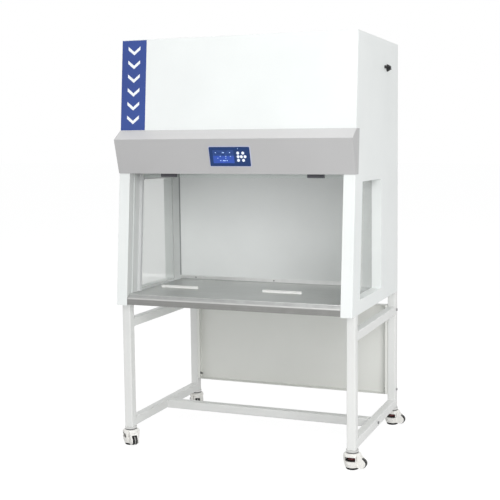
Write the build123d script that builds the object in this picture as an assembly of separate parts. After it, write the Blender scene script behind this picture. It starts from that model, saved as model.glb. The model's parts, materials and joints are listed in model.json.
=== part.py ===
from build123d import *
import math
import os

os.makedirs("parts", exist_ok=True)

# A laminar flow hood: a sheet-metal cabinet with a raised front sash, on a tube stand with levelling casters.
# Millimetres. Front faces -Y, right is +X, up is +Z.
# The origin is on the floor, in the middle of the four feet.

# ---- cabinet ----
WIDTH = 1116.0  # across the outer faces of the side walls
WALL = 52.0  # thickness of a double-skinned side wall
SKIN = 1.5  # sheet of the cabinet
CABINET_BASE = 662.0  # underside of the cabinet, which rests on the legs
CABINET_TOP = 1858.0
FRONT_OVERHANG = 46.5  # the cabinet's foot stands this far in front of the legs
LEAN = 5.0  # degrees that the front leans back from upright
POST_RETURN = 39.0  # depth of the front post's inner return
POST_FACE = 4.0  # front post's face, with the front panel's foot laid on it
GROOVE = 9.0  # shadow groove between the front post and the inner skin
GROOVE_DEPTH = 7.0
WINDOW_SETBACK = 111.0  # side window's front edge behind the cabinet's front
WINDOW_REAR = 54.0  # side window's rear edge behind the middle of the feet
WINDOW_SILL = 722.0
WINDOW_HEAD = 1225.0
GLASS = 6.0
GLASS_INSET = 1.0  # side glass behind the inner skin
BACK_WALL_Y = 124.0  # front face of the inner back wall
BACK_FLANGE = 25.0
BACK_FOOT_GAP = 2.0  # between the back wall and the table
PAN_HEIGHT = 48.0  # base pan's flanges, which carry the work table
PAN_GAP = 6.0  # from the table's return lip to the base pan
PAN_RIB_PITCH = 190.0  # between the two cross ribs of the base pan
STIFFENER_LIFT = 60.0  # lower stiffener of the rear panel above the base pan
EDGE_RADIUS = 2.0
FLANGE_GAP = 1.0  # between an inner flange and the wall at its end
CUT = 1.0  # how far a cutter reaches past the face that it opens

# ---- work table ----
TABLE_TOP = 712.0
TABLE_SHEET = 2.0
TABLE_GAP = 0.5  # between the table and each side wall
NOSE_RUN = 18.0  # depth of the sloped nose
NOSE_DROP = 19.0
APRON_BOTTOM = 665.0
APRON_LIP = 18.0
UPSTAND = 20.0
PULL_LENGTH = 192.0
PULL_HEIGHT = 12.0
PULL_DEPTH = 14.0
PULL_SCOOP = 1.0  # scoop's axis, forward of the bar's face and below its middle
PULL_Y = -160.0
PULL_LEFT_X = -366.0
PULL_RIGHT_X = 151.0

# ---- stand ----
TUBE = 40.0
TUBE_WALL = 2.0
TUBE_CORNER = 5.0
STAND_DEPTH = 725.0
LEG_BOTTOM = 84.0
UPPER_RAIL_TOP = 590.0
LEG_PLATE = 5.0
BOLT_R = 4.0
BOLT_HOLE = 0.3  # radial clearance of the stand's bolts
BOLT_HEAD_R = 6.5
BOLT_HEAD = 5.0
NUT_R = 7.5
NUT = 6.5
BOLT_SOCKET_R = 3.4
BOLT_SOCKET = 3.0
STRETCHER_BOLT_GRIP = 18.0  # depth of the tapped hole in the stretcher
STRETCHER_BOLT_GAP = 2.0  # from the bolt's tip to the bottom of that hole
REAR_HOLE_REACH = 5.0  # of the cutter for each bolt hole in the rear panel's returns
REAR_PANEL_TOP = 595.0
REAR_PANEL_BOTTOM = 150.0
REAR_PANEL_LIP = 13.0  # return along each leg
REAR_BOLT_LOW = 175.0
REAR_BOLT_HIGH = 573.0
REAR_BOLT_END = 12.0  # thread that stands past the nut

# ---- control canopy and panel ----
PANEL_HEAD_GAP = 2.0  # between the front panel's head flange and the roof's flange
PANEL_LAP = 0.5  # how far the front panel's flanges run into its sheet
CANOPY_TOP = 1450.0
CREASE_Z = 1410.0
CREASE_PROUD = 54.0  # the crease stands this far in front of the cabinet
CANOPY_BOTTOM = 1258.0
CANOPY_WRAP = 42.0  # depth of the cheeks that wrap the side walls
CANOPY_FLANGE = 25.0
BEND = 2.5  # inner bend radius
BEZEL_WIDTH = 190.0
BEZEL_HEIGHT = 85.0
BEZEL = 4.0
BEZEL_RIM = 6.0  # bezel overlap on the canopy around its cut-out
BEZEL_CORNER = 4.0
SCREEN_WIDTH = 100.0
SCREEN_HEIGHT = 58.0
SCREEN_X = -29.0
SCREEN = 1.6
SCREEN_RECESS = 2.2
KEY_R = 6.4
KEY_GAP = 0.3
KEY_PROUD = 2.0
KEY_BEVEL = 0.8
KEY_FLANGE = 1.0
KEY_FLANGE_R = 7.1
KEY_TRAVEL = 0.8
KEY_SLACK = 0.1  # between a pressed key and its switch
KEY_COLUMN_X = 40.5
KEY_PAD_X = 64.1
KEY_PITCH = 16.0
KEY_SIDE = 8.6
BOARD = 1.6
SWITCH_R = 2.5
SWITCH = 4.0
STANDOFF_R = 3.0
STANDOFF_INSET = 5.0

# ---- sash ----
SASH_SETBACK = 100.0  # middle of the sash behind the cabinet's front, square to it
SASH_GLASS = 5.0
SASH_LENGTH = 582.0
SASH_RAISED = 1237.0  # height of the glass's lower edge when raised
TRACK_WIDTH = 16.0
TRACK_DEPTH = 14.0
TRACK_SLOT = 9.0
TRACK_BASE = 3.0
TRACK_TOP = 1835.0
TRACK_FOOT_GAP = 1.0  # between a track and the table
SLIDER_GAP = 0.3
SLIDER_LENGTH = 70.0
SLIDER_INSET = 4.0  # from the glass's end to the nearest slider
SLIDER_GRIP = 8.0  # how far a slider wraps onto the glass
GLASS_END_GAP = 5.0  # from the glass's edge to the bottom of the track's slot
GRIP_LENGTH = 76.0
GRIP_DEPTH = 14.0
GRIP_HEIGHT = 22.0
GRIP_LIFT = 1.0  # grip's foot above the glass's lower edge
GRIP_END = 6.0  # grip's walls round its scoop: ends, front and back
GRIP_FRONT = 4.0
GRIP_BACK = 3.0
GRIP_SCOOP = 8.0  # height of the scoop
GRIP_X = 354.0

# ---- air path ----
DIFFUSER_Z = 1288.0
DIFFUSER_FLANGE = 12.0
HEPA = 70.0
HEPA_FRAME = 18.0
HEPA_PLEATS = 44
HEPA_INSET = 5.0  # pleats inside the frame's faces
HEPA_PAPER = 4.0
AIR_SETBACK = 114.0  # front of the filter behind the cabinet's front
PLENUM = 52.0
DIFFUSER_MARGIN_X = 30.0
DIFFUSER_MARGIN_Y = 20.0
DIFFUSER_HOLE_X = 26.0
DIFFUSER_HOLE_Y = 11.0
DIFFUSER_COLUMNS = 22
DIFFUSER_ROWS = 9
FAN_Y = -50.0
FAN_WIDTH = 240.0
FAN_LIFT_SHARE = 0.46  # fan's axis, as a share of the room between the deck and the cabinet's top
SCROLL_SHARE = 0.27  # smallest radius of the scroll, as a share of that room
FAN_SHEET = 2.0
FAN_FLANGE = 18.0
FAN_RIM = 6.0
SCROLL_STEP_SHARE = 0.135  # growth in each quarter turn; this and the next five are shares of the radius
OUTLET_SHARE = 0.85
INLET_SHARE = 0.71
IMPELLER_SHARE = 0.85
RING_SHARE = 0.66
MOTOR_SHARE = 0.41
IMPELLER_WIDTH = 200.0
IMPELLER_BLADES = 24
IMPELLER_SHEET = 3.0
BLADE_SHEET = 1.6
BLADE_PITCH = 28.0  # degrees that each blade leans forward
BLADE_MARGIN = 1.0  # blade inside the rings' faces and edges
MOTOR_LENGTH = 96.0
SHAFT_R = 8.0
SHAFT_GAP = 0.05
SHAFT_END = 4.0  # shaft past the hub
ARM_INSET = 1.0  # motor arm's end inside the inlet ring's rim
SPIDER = 14.0
INTAKE_LENGTH = 560.0
INTAKE_DEPTH = 260.0
INTAKE_Y = 60.0
INTAKE_SLOTS = 14
INTAKE_SLOT = 14.0
PREFILTER = 20.0
PREFILTER_FRAME = 14.0
PREFILTER_FOLDS = 20
PREFILTER_INSET = 2.0  # medium inside the frame's faces
PREFILTER_MEDIUM = 3.0
FILTER_SEAT = 1.0  # how far a filter's medium is bonded into its frame
ROOF_FLANGE = 22.0
ROOF_SETBACK = 6.0  # roof's front flange behind the front panel
LAMP_R = 13.0
LAMP_LENGTH = 860.0
LAMP_Y = -200.0
LAMP_DROP = 20.0  # lamp's axis below the diffuser
LAMP_HOLDER = 24.0
HOLDER_WALL = 3.0  # lamp holder round the lamp
INLET_FROM_REAR = 204.5
INLET_FROM_TOP = 125.0
INLET_R = 16.5
INLET_BORE_R = 5.0
INLET_COLLAR = 5.0  # length of the gland's collar and of the fuse cap
INLET_NUT = 6.0  # length of the gland's nut and of its neck
INLET_NUT_R = 14.0
INLET_NECK_R = 10.0
INLET_FLOOR = 2.0  # sheet left under the gland's bore
FUSE_OFFSET = -42.0
FUSE_LIFT = 2.0
FUSE_R = 7.5
FUSE_SLOT = 2.0  # width and depth of the slot in the fuse cap
FUSE_SLOT_REACH = 5.0  # half length of the slot

# ---- levelling casters ----
CASTER_RACE_R = 27.0
CASTER_PLATE = 6.0
CASTER_SKIRT = 7.0
CASTER_BOSS_R = 21.0
CASTER_FIT = 0.08  # running clearance of the swivel, axle and screw
CASTER_STEM_R = 6.0
CASTER_STEM = 26.0
STEM_GAP = 1.0  # above the stem's end in its socket
HOUSING_GAP = 0.5
HOUSING_BOTTOM = 10.0
HOUSING_FOOT_R = 31.0  # radius of the housing at its lower edge
HOUSING_BELLY_R = 37.5  # radius halfway up the belly
HOUSING_SHOULDER = 14.0  # height of the rounded shoulder under the race
RACE_LAP = 1.0  # race wider than the housing's top
FORK_DROP = 4.0  # fork's upper edge below the housing's top
FORK_SET = 6.0  # length of that edge's level part
NOSE_R = 40.0
FLANK = 35.0  # half width of the housing at its nose
CHEEK = 18.0  # half width of the housing at its wheel
CHEEK_R = 17.0
WHEEL_R = 20.0
WHEEL_WIDTH = 22.0
WHEEL_REACH = 44.5  # wheel's axle behind the swivel axis
WHEEL_LIFT = 6.0  # wheel clear of the floor while the foot is down
WHEEL_GAP = 1.0
WELL_GAP = 2.0
TREAD_GROOVE = 3.0  # half width of the groove between the two treads
TREAD_DEPTH = 2.5
WHEEL_RIM = 5.0  # rim's width on the wheel's faces
WHEEL_DISH = 2.0  # depth of the recess between hub and rim, and the tread's bevel
AXLE_R = 4.0
THUMB_R = 21.0
THUMB_HEIGHT = 10.0
THUMB_Z = 42.0
THUMB_GAP = 0.3
THUMB_LOBES = 10
NOTCH_R = 3.5  # hollow between two lobes of the thumb wheel
NOTCH_OUT = 1.5  # its centre outside the thumb wheel's edge
POCKET_BOTTOM = 37.0
POCKET_TOP = 57.0
POCKET_R = 31.0
WINDOW_NEAR = 25.5  # thumb-wheel window's reach away from the wheel
WINDOW_FAR = 22.5  # and towards it
SCREW_BOSS = 4.0  # wall of the boss round the foot's screw
AXLE_END = 1.0  # axle past each cheek
SOLE_R = 27.5
SOLE = 6.0
SOLE_BEVEL = 2.0  # sole's lower bevel; its upper one is half of it
NECK_R = 19.0
NECK = 6.0
NECK_TAPER = 3.0
SCREW_R = 7.0
SCREW_TOP = 58.0
FOOT_TRAVEL = 8.0
RECESS_GAP = 1.5
CASTER_TURNS = {"fl": -42.0, "fr": 0.0, "rl": -57.0, "rr": 0.0}  # where each wheel trails, degrees from +X

# ---- values that follow ----
HALF = WIDTH / 2
INNER = HALF - WALL
LEG_X = HALF - TUBE / 2
LEG_Y = STAND_DEPTH / 2 - TUBE / 2
REAR_Y = STAND_DEPTH / 2
FRONT_FOOT_Y = -(STAND_DEPTH / 2 + FRONT_OVERHANG)
SLOPE = math.tan(math.radians(LEAN))
STEEP = math.cos(math.radians(LEAN))
AXIS_Z = WHEEL_LIFT + WHEEL_R


def front_y(z):
    """Y of the cabinet's leaning front at a height."""
    return FRONT_FOOT_Y + (z - CABINET_BASE) * SLOPE


def lean_z(z):
    """Distance up the leaning front from the cabinet's foot to a height."""
    return (z - CABINET_BASE) / STEEP


def sash_z(z):
    """Distance up the leaning front at which the sash's plane reaches a height."""
    return lean_z(z + SASH_SETBACK * math.sin(math.radians(LEAN)))


FRONT_FRAME = Location((0, FRONT_FOOT_Y, CABINET_BASE), (-LEAN, 0, 0))  # Z climbs the front, Y goes inward
CREASE_Y = front_y(CREASE_Z) - CREASE_PROUD
CANOPY_FOOT_Y = front_y(CANOPY_BOTTOM) - SKIN
PANEL_TILT = math.degrees(math.atan2(CANOPY_FOOT_Y - CREASE_Y, CREASE_Z - CANOPY_BOTTOM))
FACE_MIDDLE = (0, (CREASE_Y + CANOPY_FOOT_Y) / 2, (CREASE_Z + CANOPY_BOTTOM) / 2)
FACE_FRAME = Location(FACE_MIDDLE, (PANEL_TILT, 0, 0)) * Location((0, -SKIN / 2, 0))  # local -Y is outward
HEPA_BOTTOM = DIFFUSER_Z + DIFFUSER_FLANGE
HEPA_TOP = HEPA_BOTTOM + HEPA
DECK_Z = HEPA_TOP + PLENUM
AIR_FRONT = front_y(DECK_Z) + AIR_SETBACK
FAN_ROOM = CABINET_TOP - DECK_Z
FAN_Z = DECK_Z + FAN_LIFT_SHARE * FAN_ROOM
FAN_SCROLL_R = SCROLL_SHARE * FAN_ROOM
FAN_SCROLL_STEP = SCROLL_STEP_SHARE * FAN_SCROLL_R
FAN_OUTLET = OUTLET_SHARE * FAN_SCROLL_R
FAN_INLET_R = INLET_SHARE * FAN_SCROLL_R
IMPELLER_R = IMPELLER_SHARE * FAN_SCROLL_R
IMPELLER_RING = RING_SHARE * FAN_SCROLL_R
MOTOR_R = MOTOR_SHARE * FAN_SCROLL_R
INLET_Y = REAR_Y - INLET_FROM_REAR
INLET_Z = CABINET_TOP - INLET_FROM_TOP


def block(x0, x1, y0, y1, z0, z1):
    """Box between two corners."""
    return Pos((x0 + x1) / 2, (y0 + y1) / 2, (z0 + z1) / 2) * Box(x1 - x0, y1 - y0, z1 - z0)


def outline_x(points, x0, x1):
    """Prism along X with a (y, z) outline."""
    face = Plane.YZ * make_face(Polyline(*points, close=True))
    return Pos(x0, 0, 0) * extrude(face, amount=x1 - x0)


def folded_x(points, thickness, radius, x0, x1):
    """Folded sheet along X, its middle line through (y, z) points and its bends rounded."""
    line = FilletPolyline(*points, radius=radius + thickness / 2)
    return Pos(x0, 0, 0) * extrude(Plane.YZ * trace(line, line_width=thickness), amount=x1 - x0)


def rod_x(x0, x1, y, z, radius):
    """Cylinder along X."""
    return Pos((x0 + x1) / 2, y, z) * Rot(0, 90, 0) * Cylinder(radius, x1 - x0)


def rod_z(x, y, z0, z1, radius):
    """Cylinder along Z."""
    return Pos(x, y, (z0 + z1) / 2) * Cylinder(radius, z1 - z0)


def group(solids):
    """Several separate solids as one shape."""
    return Compound(children=list(solids))


def write(node, shape):
    """One STEP file for one sub-part."""
    export_step(shape, f"parts/{node}.step")


# ---- stand ----
def tube(length):
    """Square tube along Z, standing on Z = 0."""
    outer = RectangleRounded(TUBE, TUBE, TUBE_CORNER)
    bore = RectangleRounded(TUBE - 2 * TUBE_WALL, TUBE - 2 * TUBE_WALL, TUBE_CORNER - TUBE_WALL)
    return extrude(outer - bore, amount=length)


def plug(thickness):
    """Square plate that closes a tube's end, standing on Z = 0."""
    side = TUBE - TUBE_WALL
    return extrude(RectangleRounded(side, side, TUBE_CORNER - TUBE_WALL), amount=thickness)


def stand_frame(side):
    """Welded end frame: two legs and two rails, with closed leg ends and a socket for each caster stem."""
    x = side * LEG_X
    rail_length = 2 * (LEG_Y - TUBE / 2 + TUBE_CORNER)
    frame = None
    for rail_top in (LEG_BOTTOM + TUBE, UPPER_RAIL_TOP):
        rail = Pos(x, -rail_length / 2, rail_top - TUBE / 2) * Rot(-90, 0, 0) * tube(rail_length)
        frame = rail if frame is None else frame + rail
    for y in (-LEG_Y, LEG_Y):
        leg = Pos(x, y, LEG_BOTTOM) * tube(CABINET_BASE - LEG_BOTTOM)
        foot = Pos(x, y, LEG_BOTTOM) * plug(LEG_PLATE)
        head = Pos(x, y, CABINET_BASE - LEG_PLATE) * plug(LEG_PLATE)
        socket = rod_z(x, y, LEG_BOTTOM, LEG_BOTTOM + CASTER_STEM + LEG_PLATE, TUBE / 2 - TUBE_WALL)
        frame += leg + foot + head + socket
        frame -= rod_z(x, y, LEG_BOTTOM, LEG_BOTTOM + CASTER_STEM + STEM_GAP, CASTER_STEM_R + CASTER_FIT)
    hole = BOLT_R + BOLT_HOLE
    frame -= rod_x(x - TUBE, x + TUBE, 0, LEG_BOTTOM + TUBE / 2, hole)
    for z in (REAR_BOLT_LOW, REAR_BOLT_HIGH):
        frame -= rod_x(x - TUBE, x + TUBE, LEG_Y, z, hole)
    return frame


def stand_stretcher():
    """Cross tube between the lower rails, with end plates tapped for its bolts."""
    reach = LEG_X - TUBE / 2
    body = Pos(-reach, 0, LEG_BOTTOM + TUBE / 2) * Rot(0, 90, 0) * tube(2 * reach)
    for side in (-1, 1):
        end = Rot(0, 90, 0) * plug(LEG_PLATE)
        start = -reach if side < 0 else reach - LEG_PLATE
        body += Pos(start, 0, LEG_BOTTOM + TUBE / 2) * end
        outer, inner = side * reach, side * (reach - STRETCHER_BOLT_GRIP)
        body -= rod_x(min(outer, inner), max(outer, inner), 0, LEG_BOTTOM + TUBE / 2, BOLT_R + CASTER_FIT)
    return body


def rear_lower_panel():
    """Folded pan between the rear legs, open to the front, with a return along each leg."""
    reach = LEG_X - TUBE / 2
    front = REAR_Y - TUBE
    low, high = REAR_PANEL_BOTTOM, REAR_PANEL_TOP
    pan = block(-reach, reach, front, REAR_Y, low, high)
    pan -= block(-reach + SKIN, reach - SKIN, front + SKIN, REAR_Y - SKIN, low + SKIN, high - SKIN)
    lip = REAR_PANEL_LIP
    pan -= block(-reach + lip, reach - lip, front - CUT, front + SKIN + CUT, low + SKIN, high - SKIN)
    for side in (-1, 1):
        for z in (REAR_BOLT_LOW, REAR_BOLT_HIGH):
            x0, x1 = side * reach - REAR_HOLE_REACH, side * reach + REAR_HOLE_REACH
            pan -= rod_x(x0, x1, LEG_Y, z, BOLT_R + BOLT_HOLE)
    return pan


def stand_bolts():
    """Bolts of the stretcher and of the rear panel, with the rear panel's nuts."""
    solids = []
    inner_face = LEG_X - TUBE / 2
    tip = inner_face - STRETCHER_BOLT_GRIP + STRETCHER_BOLT_GAP
    for side in (-1, 1):
        spots = [(0, LEG_BOTTOM + TUBE / 2, tip, False)]
        for z in (REAR_BOLT_LOW, REAR_BOLT_HIGH):
            spots.append((LEG_Y, z, inner_face - SKIN - NUT - REAR_BOLT_END, True))
        for y, z, end, has_nut in spots:
            bolt = rod_x(end, HALF, y, z, BOLT_R) + rod_x(HALF, HALF + BOLT_HEAD, y, z, BOLT_HEAD_R)
            socket = Rot(0, 90, 0) * extrude(RegularPolygon(BOLT_SOCKET_R, 6), amount=-BOLT_SOCKET)
            bolt -= Pos(HALF + BOLT_HEAD, y, z) * socket
            if has_nut:
                nut = Rot(0, 90, 0) * extrude(RegularPolygon(NUT_R, 6) - Circle(BOLT_R), amount=NUT)
                solids.append(Pos(inner_face - SKIN - NUT, y, z) * nut if side > 0 else
                              mirror(Pos(inner_face - SKIN - NUT, y, z) * nut, Plane.YZ))
            solids.append(bolt if side > 0 else mirror(bolt, Plane.YZ))
    return group(solids)


# ---- cabinet ----
def wall_band(start, end, z0, z1):
    """(y, z) corners between two setbacks from the leaning front; an end of None is the rear edge."""
    rear = REAR_Y - SKIN
    low_end = rear if end is None else front_y(z0) + end
    high_end = rear if end is None else front_y(z1) + end
    return [(front_y(z0) + start, z0), (front_y(z1) + start, z1), (high_end, z1), (low_end, z0)]


def window_outline(grow):
    """(y, z) corners of the side window, grown on every side."""
    low, high = WINDOW_SILL - grow, WINDOW_HEAD + grow
    start = WINDOW_SETBACK - grow
    rear = WINDOW_REAR + grow
    return [(front_y(low) + start, low), (front_y(high) + start, high), (rear, high), (rear, low)]


def side_wall(side):
    """Double-skinned wall with a closed front post, a window opening and hollow walls."""
    top = CABINET_TOP - SKIN
    panel_start = CANOPY_TOP - CANOPY_FLANGE
    wall = outline_x(wall_band(0, None, CABINET_BASE, top), INNER, HALF)
    wall -= outline_x(wall_band(-CUT, SKIN / STEEP, panel_start, top + CUT), INNER - CUT, HALF + CUT)
    inside, outside = INNER + SKIN, HALF - SKIN
    post_low, post_high = CABINET_BASE + SKIN, top - SKIN
    post = wall_band(POST_FACE, POST_RETURN - SKIN, post_low, post_high)
    wall -= outline_x(post, inside, outside)
    behind = wall_band(POST_RETURN + GROOVE + SKIN, None, post_low, post_high)
    hollow = outline_x(behind, inside, outside)
    hollow -= block(INNER, HALF, REAR_Y - 2 * SKIN, REAR_Y, post_low, post_high)
    hollow -= outline_x(window_outline(SKIN), INNER, HALF)
    wall -= hollow
    wall -= outline_x(window_outline(0), INNER - CUT, HALF + CUT)
    groove = wall_band(POST_RETURN, POST_RETURN + GROOVE, TABLE_TOP, top - SKIN)
    wall -= outline_x(groove, INNER - CUT, INNER + GROOVE_DEPTH)
    wall = fillet(front_edges(wall), EDGE_RADIUS)
    if side < 0:
        wall = mirror(wall, Plane.YZ)
    return wall


def front_edges(wall):
    """The outer and inner corners of the front post, from the foot to the front panel."""
    def on_post(edge):
        middle = edge @ 0.5
        low_part = middle.Z < CANOPY_TOP - CANOPY_FLANGE
        return low_part and abs(middle.Y - front_y(middle.Z)) < 0.01 and edge.length > WALL + EDGE_RADIUS / 2
    return wall.edges().filter_by(on_post)


def side_glass(side):
    """Pane that fills the window opening at the inner skin."""
    start = INNER + GLASS_INSET
    pane = outline_x(window_outline(0), start, start + GLASS)
    if side < 0:
        pane = mirror(pane, Plane.YZ)
    return pane


def base_pan():
    """Folded tray that ties the walls together and carries the work table."""
    front = front_y(CABINET_BASE) + TABLE_SHEET + APRON_LIP + PAN_GAP
    low, high = CABINET_BASE, CABINET_BASE + PAN_HEIGHT
    rear = REAR_Y - SKIN
    pan = block(-INNER, INNER, front, rear, low, high)
    pan -= block(-INNER + SKIN, INNER - SKIN, front + SKIN, rear - SKIN, low + SKIN, high + CUT)
    middle = (front + BACK_WALL_Y) / 2
    for y in (middle - PAN_RIB_PITCH / 2, middle + PAN_RIB_PITCH / 2):
        pan += block(-INNER + SKIN, INNER - SKIN, y, y + SKIN, low + SKIN, TABLE_TOP - TABLE_SHEET)
    pan += block(-INNER + SKIN, INNER - SKIN, BACK_WALL_Y + SKIN, BACK_WALL_Y + 2 * SKIN, low + SKIN, high)
    return pan


def work_table():
    """Stainless table in one folded sheet: upstand, flat top, sloped nose, apron and a return lip."""
    reach = INNER - TABLE_GAP
    mid = TABLE_SHEET / 2
    rear = BACK_WALL_Y - mid
    apron = front_y(TABLE_TOP - NOSE_DROP) + mid
    line = [
        (apron + APRON_LIP, APRON_BOTTOM + mid),
        (apron, APRON_BOTTOM + mid),
        (apron, TABLE_TOP - NOSE_DROP),
        (apron + NOSE_RUN, TABLE_TOP - mid),
        (rear, TABLE_TOP - mid),
        (rear, TABLE_TOP + UPSTAND),
    ]
    return folded_x(line, TABLE_SHEET, BEND, -reach, reach)


def tray_pull(x):
    """Low moulded bar on the table with rounded ends and a scooped front."""
    bar = extrude(SlotOverall(PULL_LENGTH, PULL_DEPTH), amount=PULL_HEIGHT)
    bar = fillet(bar.faces().sort_by(Axis.Z)[-1].edges(), EDGE_RADIUS)
    scoop = Pos(0, -PULL_DEPTH / 2 - PULL_SCOOP, PULL_HEIGHT / 2 - PULL_SCOOP) * Rot(0, 90, 0)
    bar -= scoop * Cylinder(PULL_HEIGHT / 3, PULL_LENGTH - 3 * PULL_DEPTH)
    return Pos(x, PULL_Y, TABLE_TOP) * bar


def back_wall():
    """Inner back wall: a pan whose flanges turn rearward."""
    low, high = TABLE_TOP + BACK_FOOT_GAP, DIFFUSER_Z
    start, end = BACK_WALL_Y, BACK_WALL_Y + BACK_FLANGE
    pan = block(-INNER, INNER, start, end, low, high)
    pan -= block(-INNER + SKIN, INNER - SKIN, start + SKIN, end + CUT, low + SKIN, high - SKIN)
    return pan


def rear_panel():
    """Flat outer rear panel with two stiffening flanges."""
    panel = block(-HALF, HALF, REAR_Y - SKIN, REAR_Y, CABINET_BASE, CABINET_TOP - SKIN)
    reach = INNER - FLANGE_GAP
    for z in (CABINET_BASE + PAN_HEIGHT + STIFFENER_LIFT, DIFFUSER_Z):
        panel += block(-reach, reach, REAR_Y - ROOF_FLANGE, REAR_Y - SKIN, z, z + SKIN)
    return panel


def roof_panel():
    """Roof with a slotted intake and flanges between the walls."""
    low, high = CABINET_TOP - SKIN, CABINET_TOP
    front = front_y(high)
    roof = block(-HALF, HALF, front, REAR_Y, low, high)
    reach = INNER - FLANGE_GAP
    for y in (front + ROOF_SETBACK, REAR_Y - 3 * SKIN):
        roof += block(-reach, reach, y, y + SKIN, low - ROOF_FLANGE, low)
    pitch = INTAKE_LENGTH / INTAKE_SLOTS
    for row in (-1, 1):
        y = INTAKE_Y + row * INTAKE_DEPTH / 4
        for i in range(INTAKE_SLOTS):
            x = (i - (INTAKE_SLOTS - 1) / 2) * pitch
            slot = SlotOverall(INTAKE_DEPTH / 2 - INTAKE_SLOT, INTAKE_SLOT, rotation=90)
            roof -= Pos(x, y, low - 2 * SKIN) * extrude(slot, amount=4 * SKIN)
    return roof


def intake_filter():
    """Pre-filter under the intake: a frame round a folded medium."""
    width, depth = INTAKE_LENGTH + 2 * PREFILTER_FRAME, INTAKE_DEPTH + 2 * PREFILTER_FRAME
    top = CABINET_TOP - SKIN
    frame = Box(width, depth, PREFILTER) - Box(INTAKE_LENGTH, INTAKE_DEPTH, PREFILTER + 2 * CUT)
    reach = INTAKE_LENGTH / 2 + FILTER_SEAT
    pitch = 2 * reach / PREFILTER_FOLDS
    low, high = -PREFILTER / 2 + PREFILTER_INSET, PREFILTER / 2 - PREFILTER_INSET - PREFILTER_MEDIUM
    teeth = []
    for i in range(PREFILTER_FOLDS + 1):
        teeth.append((-reach + i * pitch, low if i % 2 else high))
    back = [(x, z + PREFILTER_MEDIUM) for x, z in reversed(teeth)]
    face = Plane.XZ * make_face(Polyline(*(teeth + back), close=True))
    medium = extrude(face, amount=INTAKE_DEPTH / 2 + FILTER_SEAT, both=True)
    return Pos(0, INTAKE_Y, top - PREFILTER / 2) * (frame + medium)


def front_panel():
    """Leaning upper front panel with flanges at its head and foot."""
    low, high = CANOPY_TOP - CANOPY_FLANGE, CABINET_TOP - SKIN
    panel = outline_x(wall_band(0, SKIN / STEEP, low, high), -HALF, HALF)
    reach = INNER - FLANGE_GAP
    for z in (low, high - SKIN - ROOF_FLANGE - PANEL_HEAD_GAP):
        panel += block(-reach, reach, front_y(z) + SKIN - PANEL_LAP, front_y(z) + ROOF_FLANGE, z, z + SKIN)
    return panel


def sash_box(x0, x1, y0, y1, z0, z1):
    """Box in the leaning frame of the front: Y square to the front, Z along it."""
    return FRONT_FRAME * block(x0, x1, y0, y1, z0, z1)


def sash_glass():
    """Raised sash glass, its edges inside the tracks."""
    reach = INNER - TRACK_BASE - GLASS_END_GAP
    start = sash_z(SASH_RAISED)
    half = SASH_GLASS / 2
    return sash_box(-reach, reach, SASH_SETBACK - half, SASH_SETBACK + half, start, start + SASH_LENGTH)


def sash_sliders():
    """Nylon sliders that wrap the glass's edges in the tracks, two on each side."""
    half = TRACK_SLOT / 2 - SLIDER_GAP
    outer = INNER - TRACK_BASE - SLIDER_GAP
    inner = INNER - TRACK_BASE - GLASS_END_GAP - SLIDER_GRIP
    start = sash_z(SASH_RAISED)
    solids = []
    y0, y1 = SASH_SETBACK - half, SASH_SETBACK + half
    for z in (start + SLIDER_INSET, start + SASH_LENGTH - SLIDER_LENGTH - SLIDER_INSET):
        right = sash_box(inner, outer, y0, y1, z, z + SLIDER_LENGTH) - sash_glass()
        solids += [right, mirror(right, Plane.YZ)]
    return group(solids)


def sash_track(side):
    """Channel for the sash's edge, from the table to the roof."""
    low, high = sash_z(TABLE_TOP) + TRACK_FOOT_GAP, sash_z(TRACK_TOP)
    y0, y1 = SASH_SETBACK - TRACK_WIDTH / 2, SASH_SETBACK + TRACK_WIDTH / 2
    track = sash_box(INNER - TRACK_DEPTH, INNER, y0, y1, low, high)
    s0, s1 = SASH_SETBACK - TRACK_SLOT / 2, SASH_SETBACK + TRACK_SLOT / 2
    track -= sash_box(INNER - TRACK_DEPTH - CUT, INNER - TRACK_BASE, s0, s1, low - CUT, high + CUT)
    if side < 0:
        track = mirror(track, Plane.YZ)
    return track


def sash_grip(side):
    """Moulded grip on the front of the sash's lower edge, scooped underneath for the fingers."""
    face = SASH_SETBACK - SASH_GLASS / 2
    start = sash_z(SASH_RAISED) + GRIP_LIFT
    reach = GRIP_LENGTH / 2
    bar = block(-reach, reach, face - GRIP_DEPTH, face, start, start + GRIP_HEIGHT)
    bar = fillet(bar.edges().filter_by(Axis.X).sort_by(Axis.Y)[:2], 2 * EDGE_RADIUS)
    reach -= GRIP_END
    front, rear = face - GRIP_DEPTH + GRIP_FRONT, face - GRIP_BACK
    scoop = block(-reach, reach, front, rear, start - CUT, start + GRIP_SCOOP)
    return FRONT_FRAME * Pos(side * GRIP_X, 0, 0) * (bar - scoop)


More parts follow.
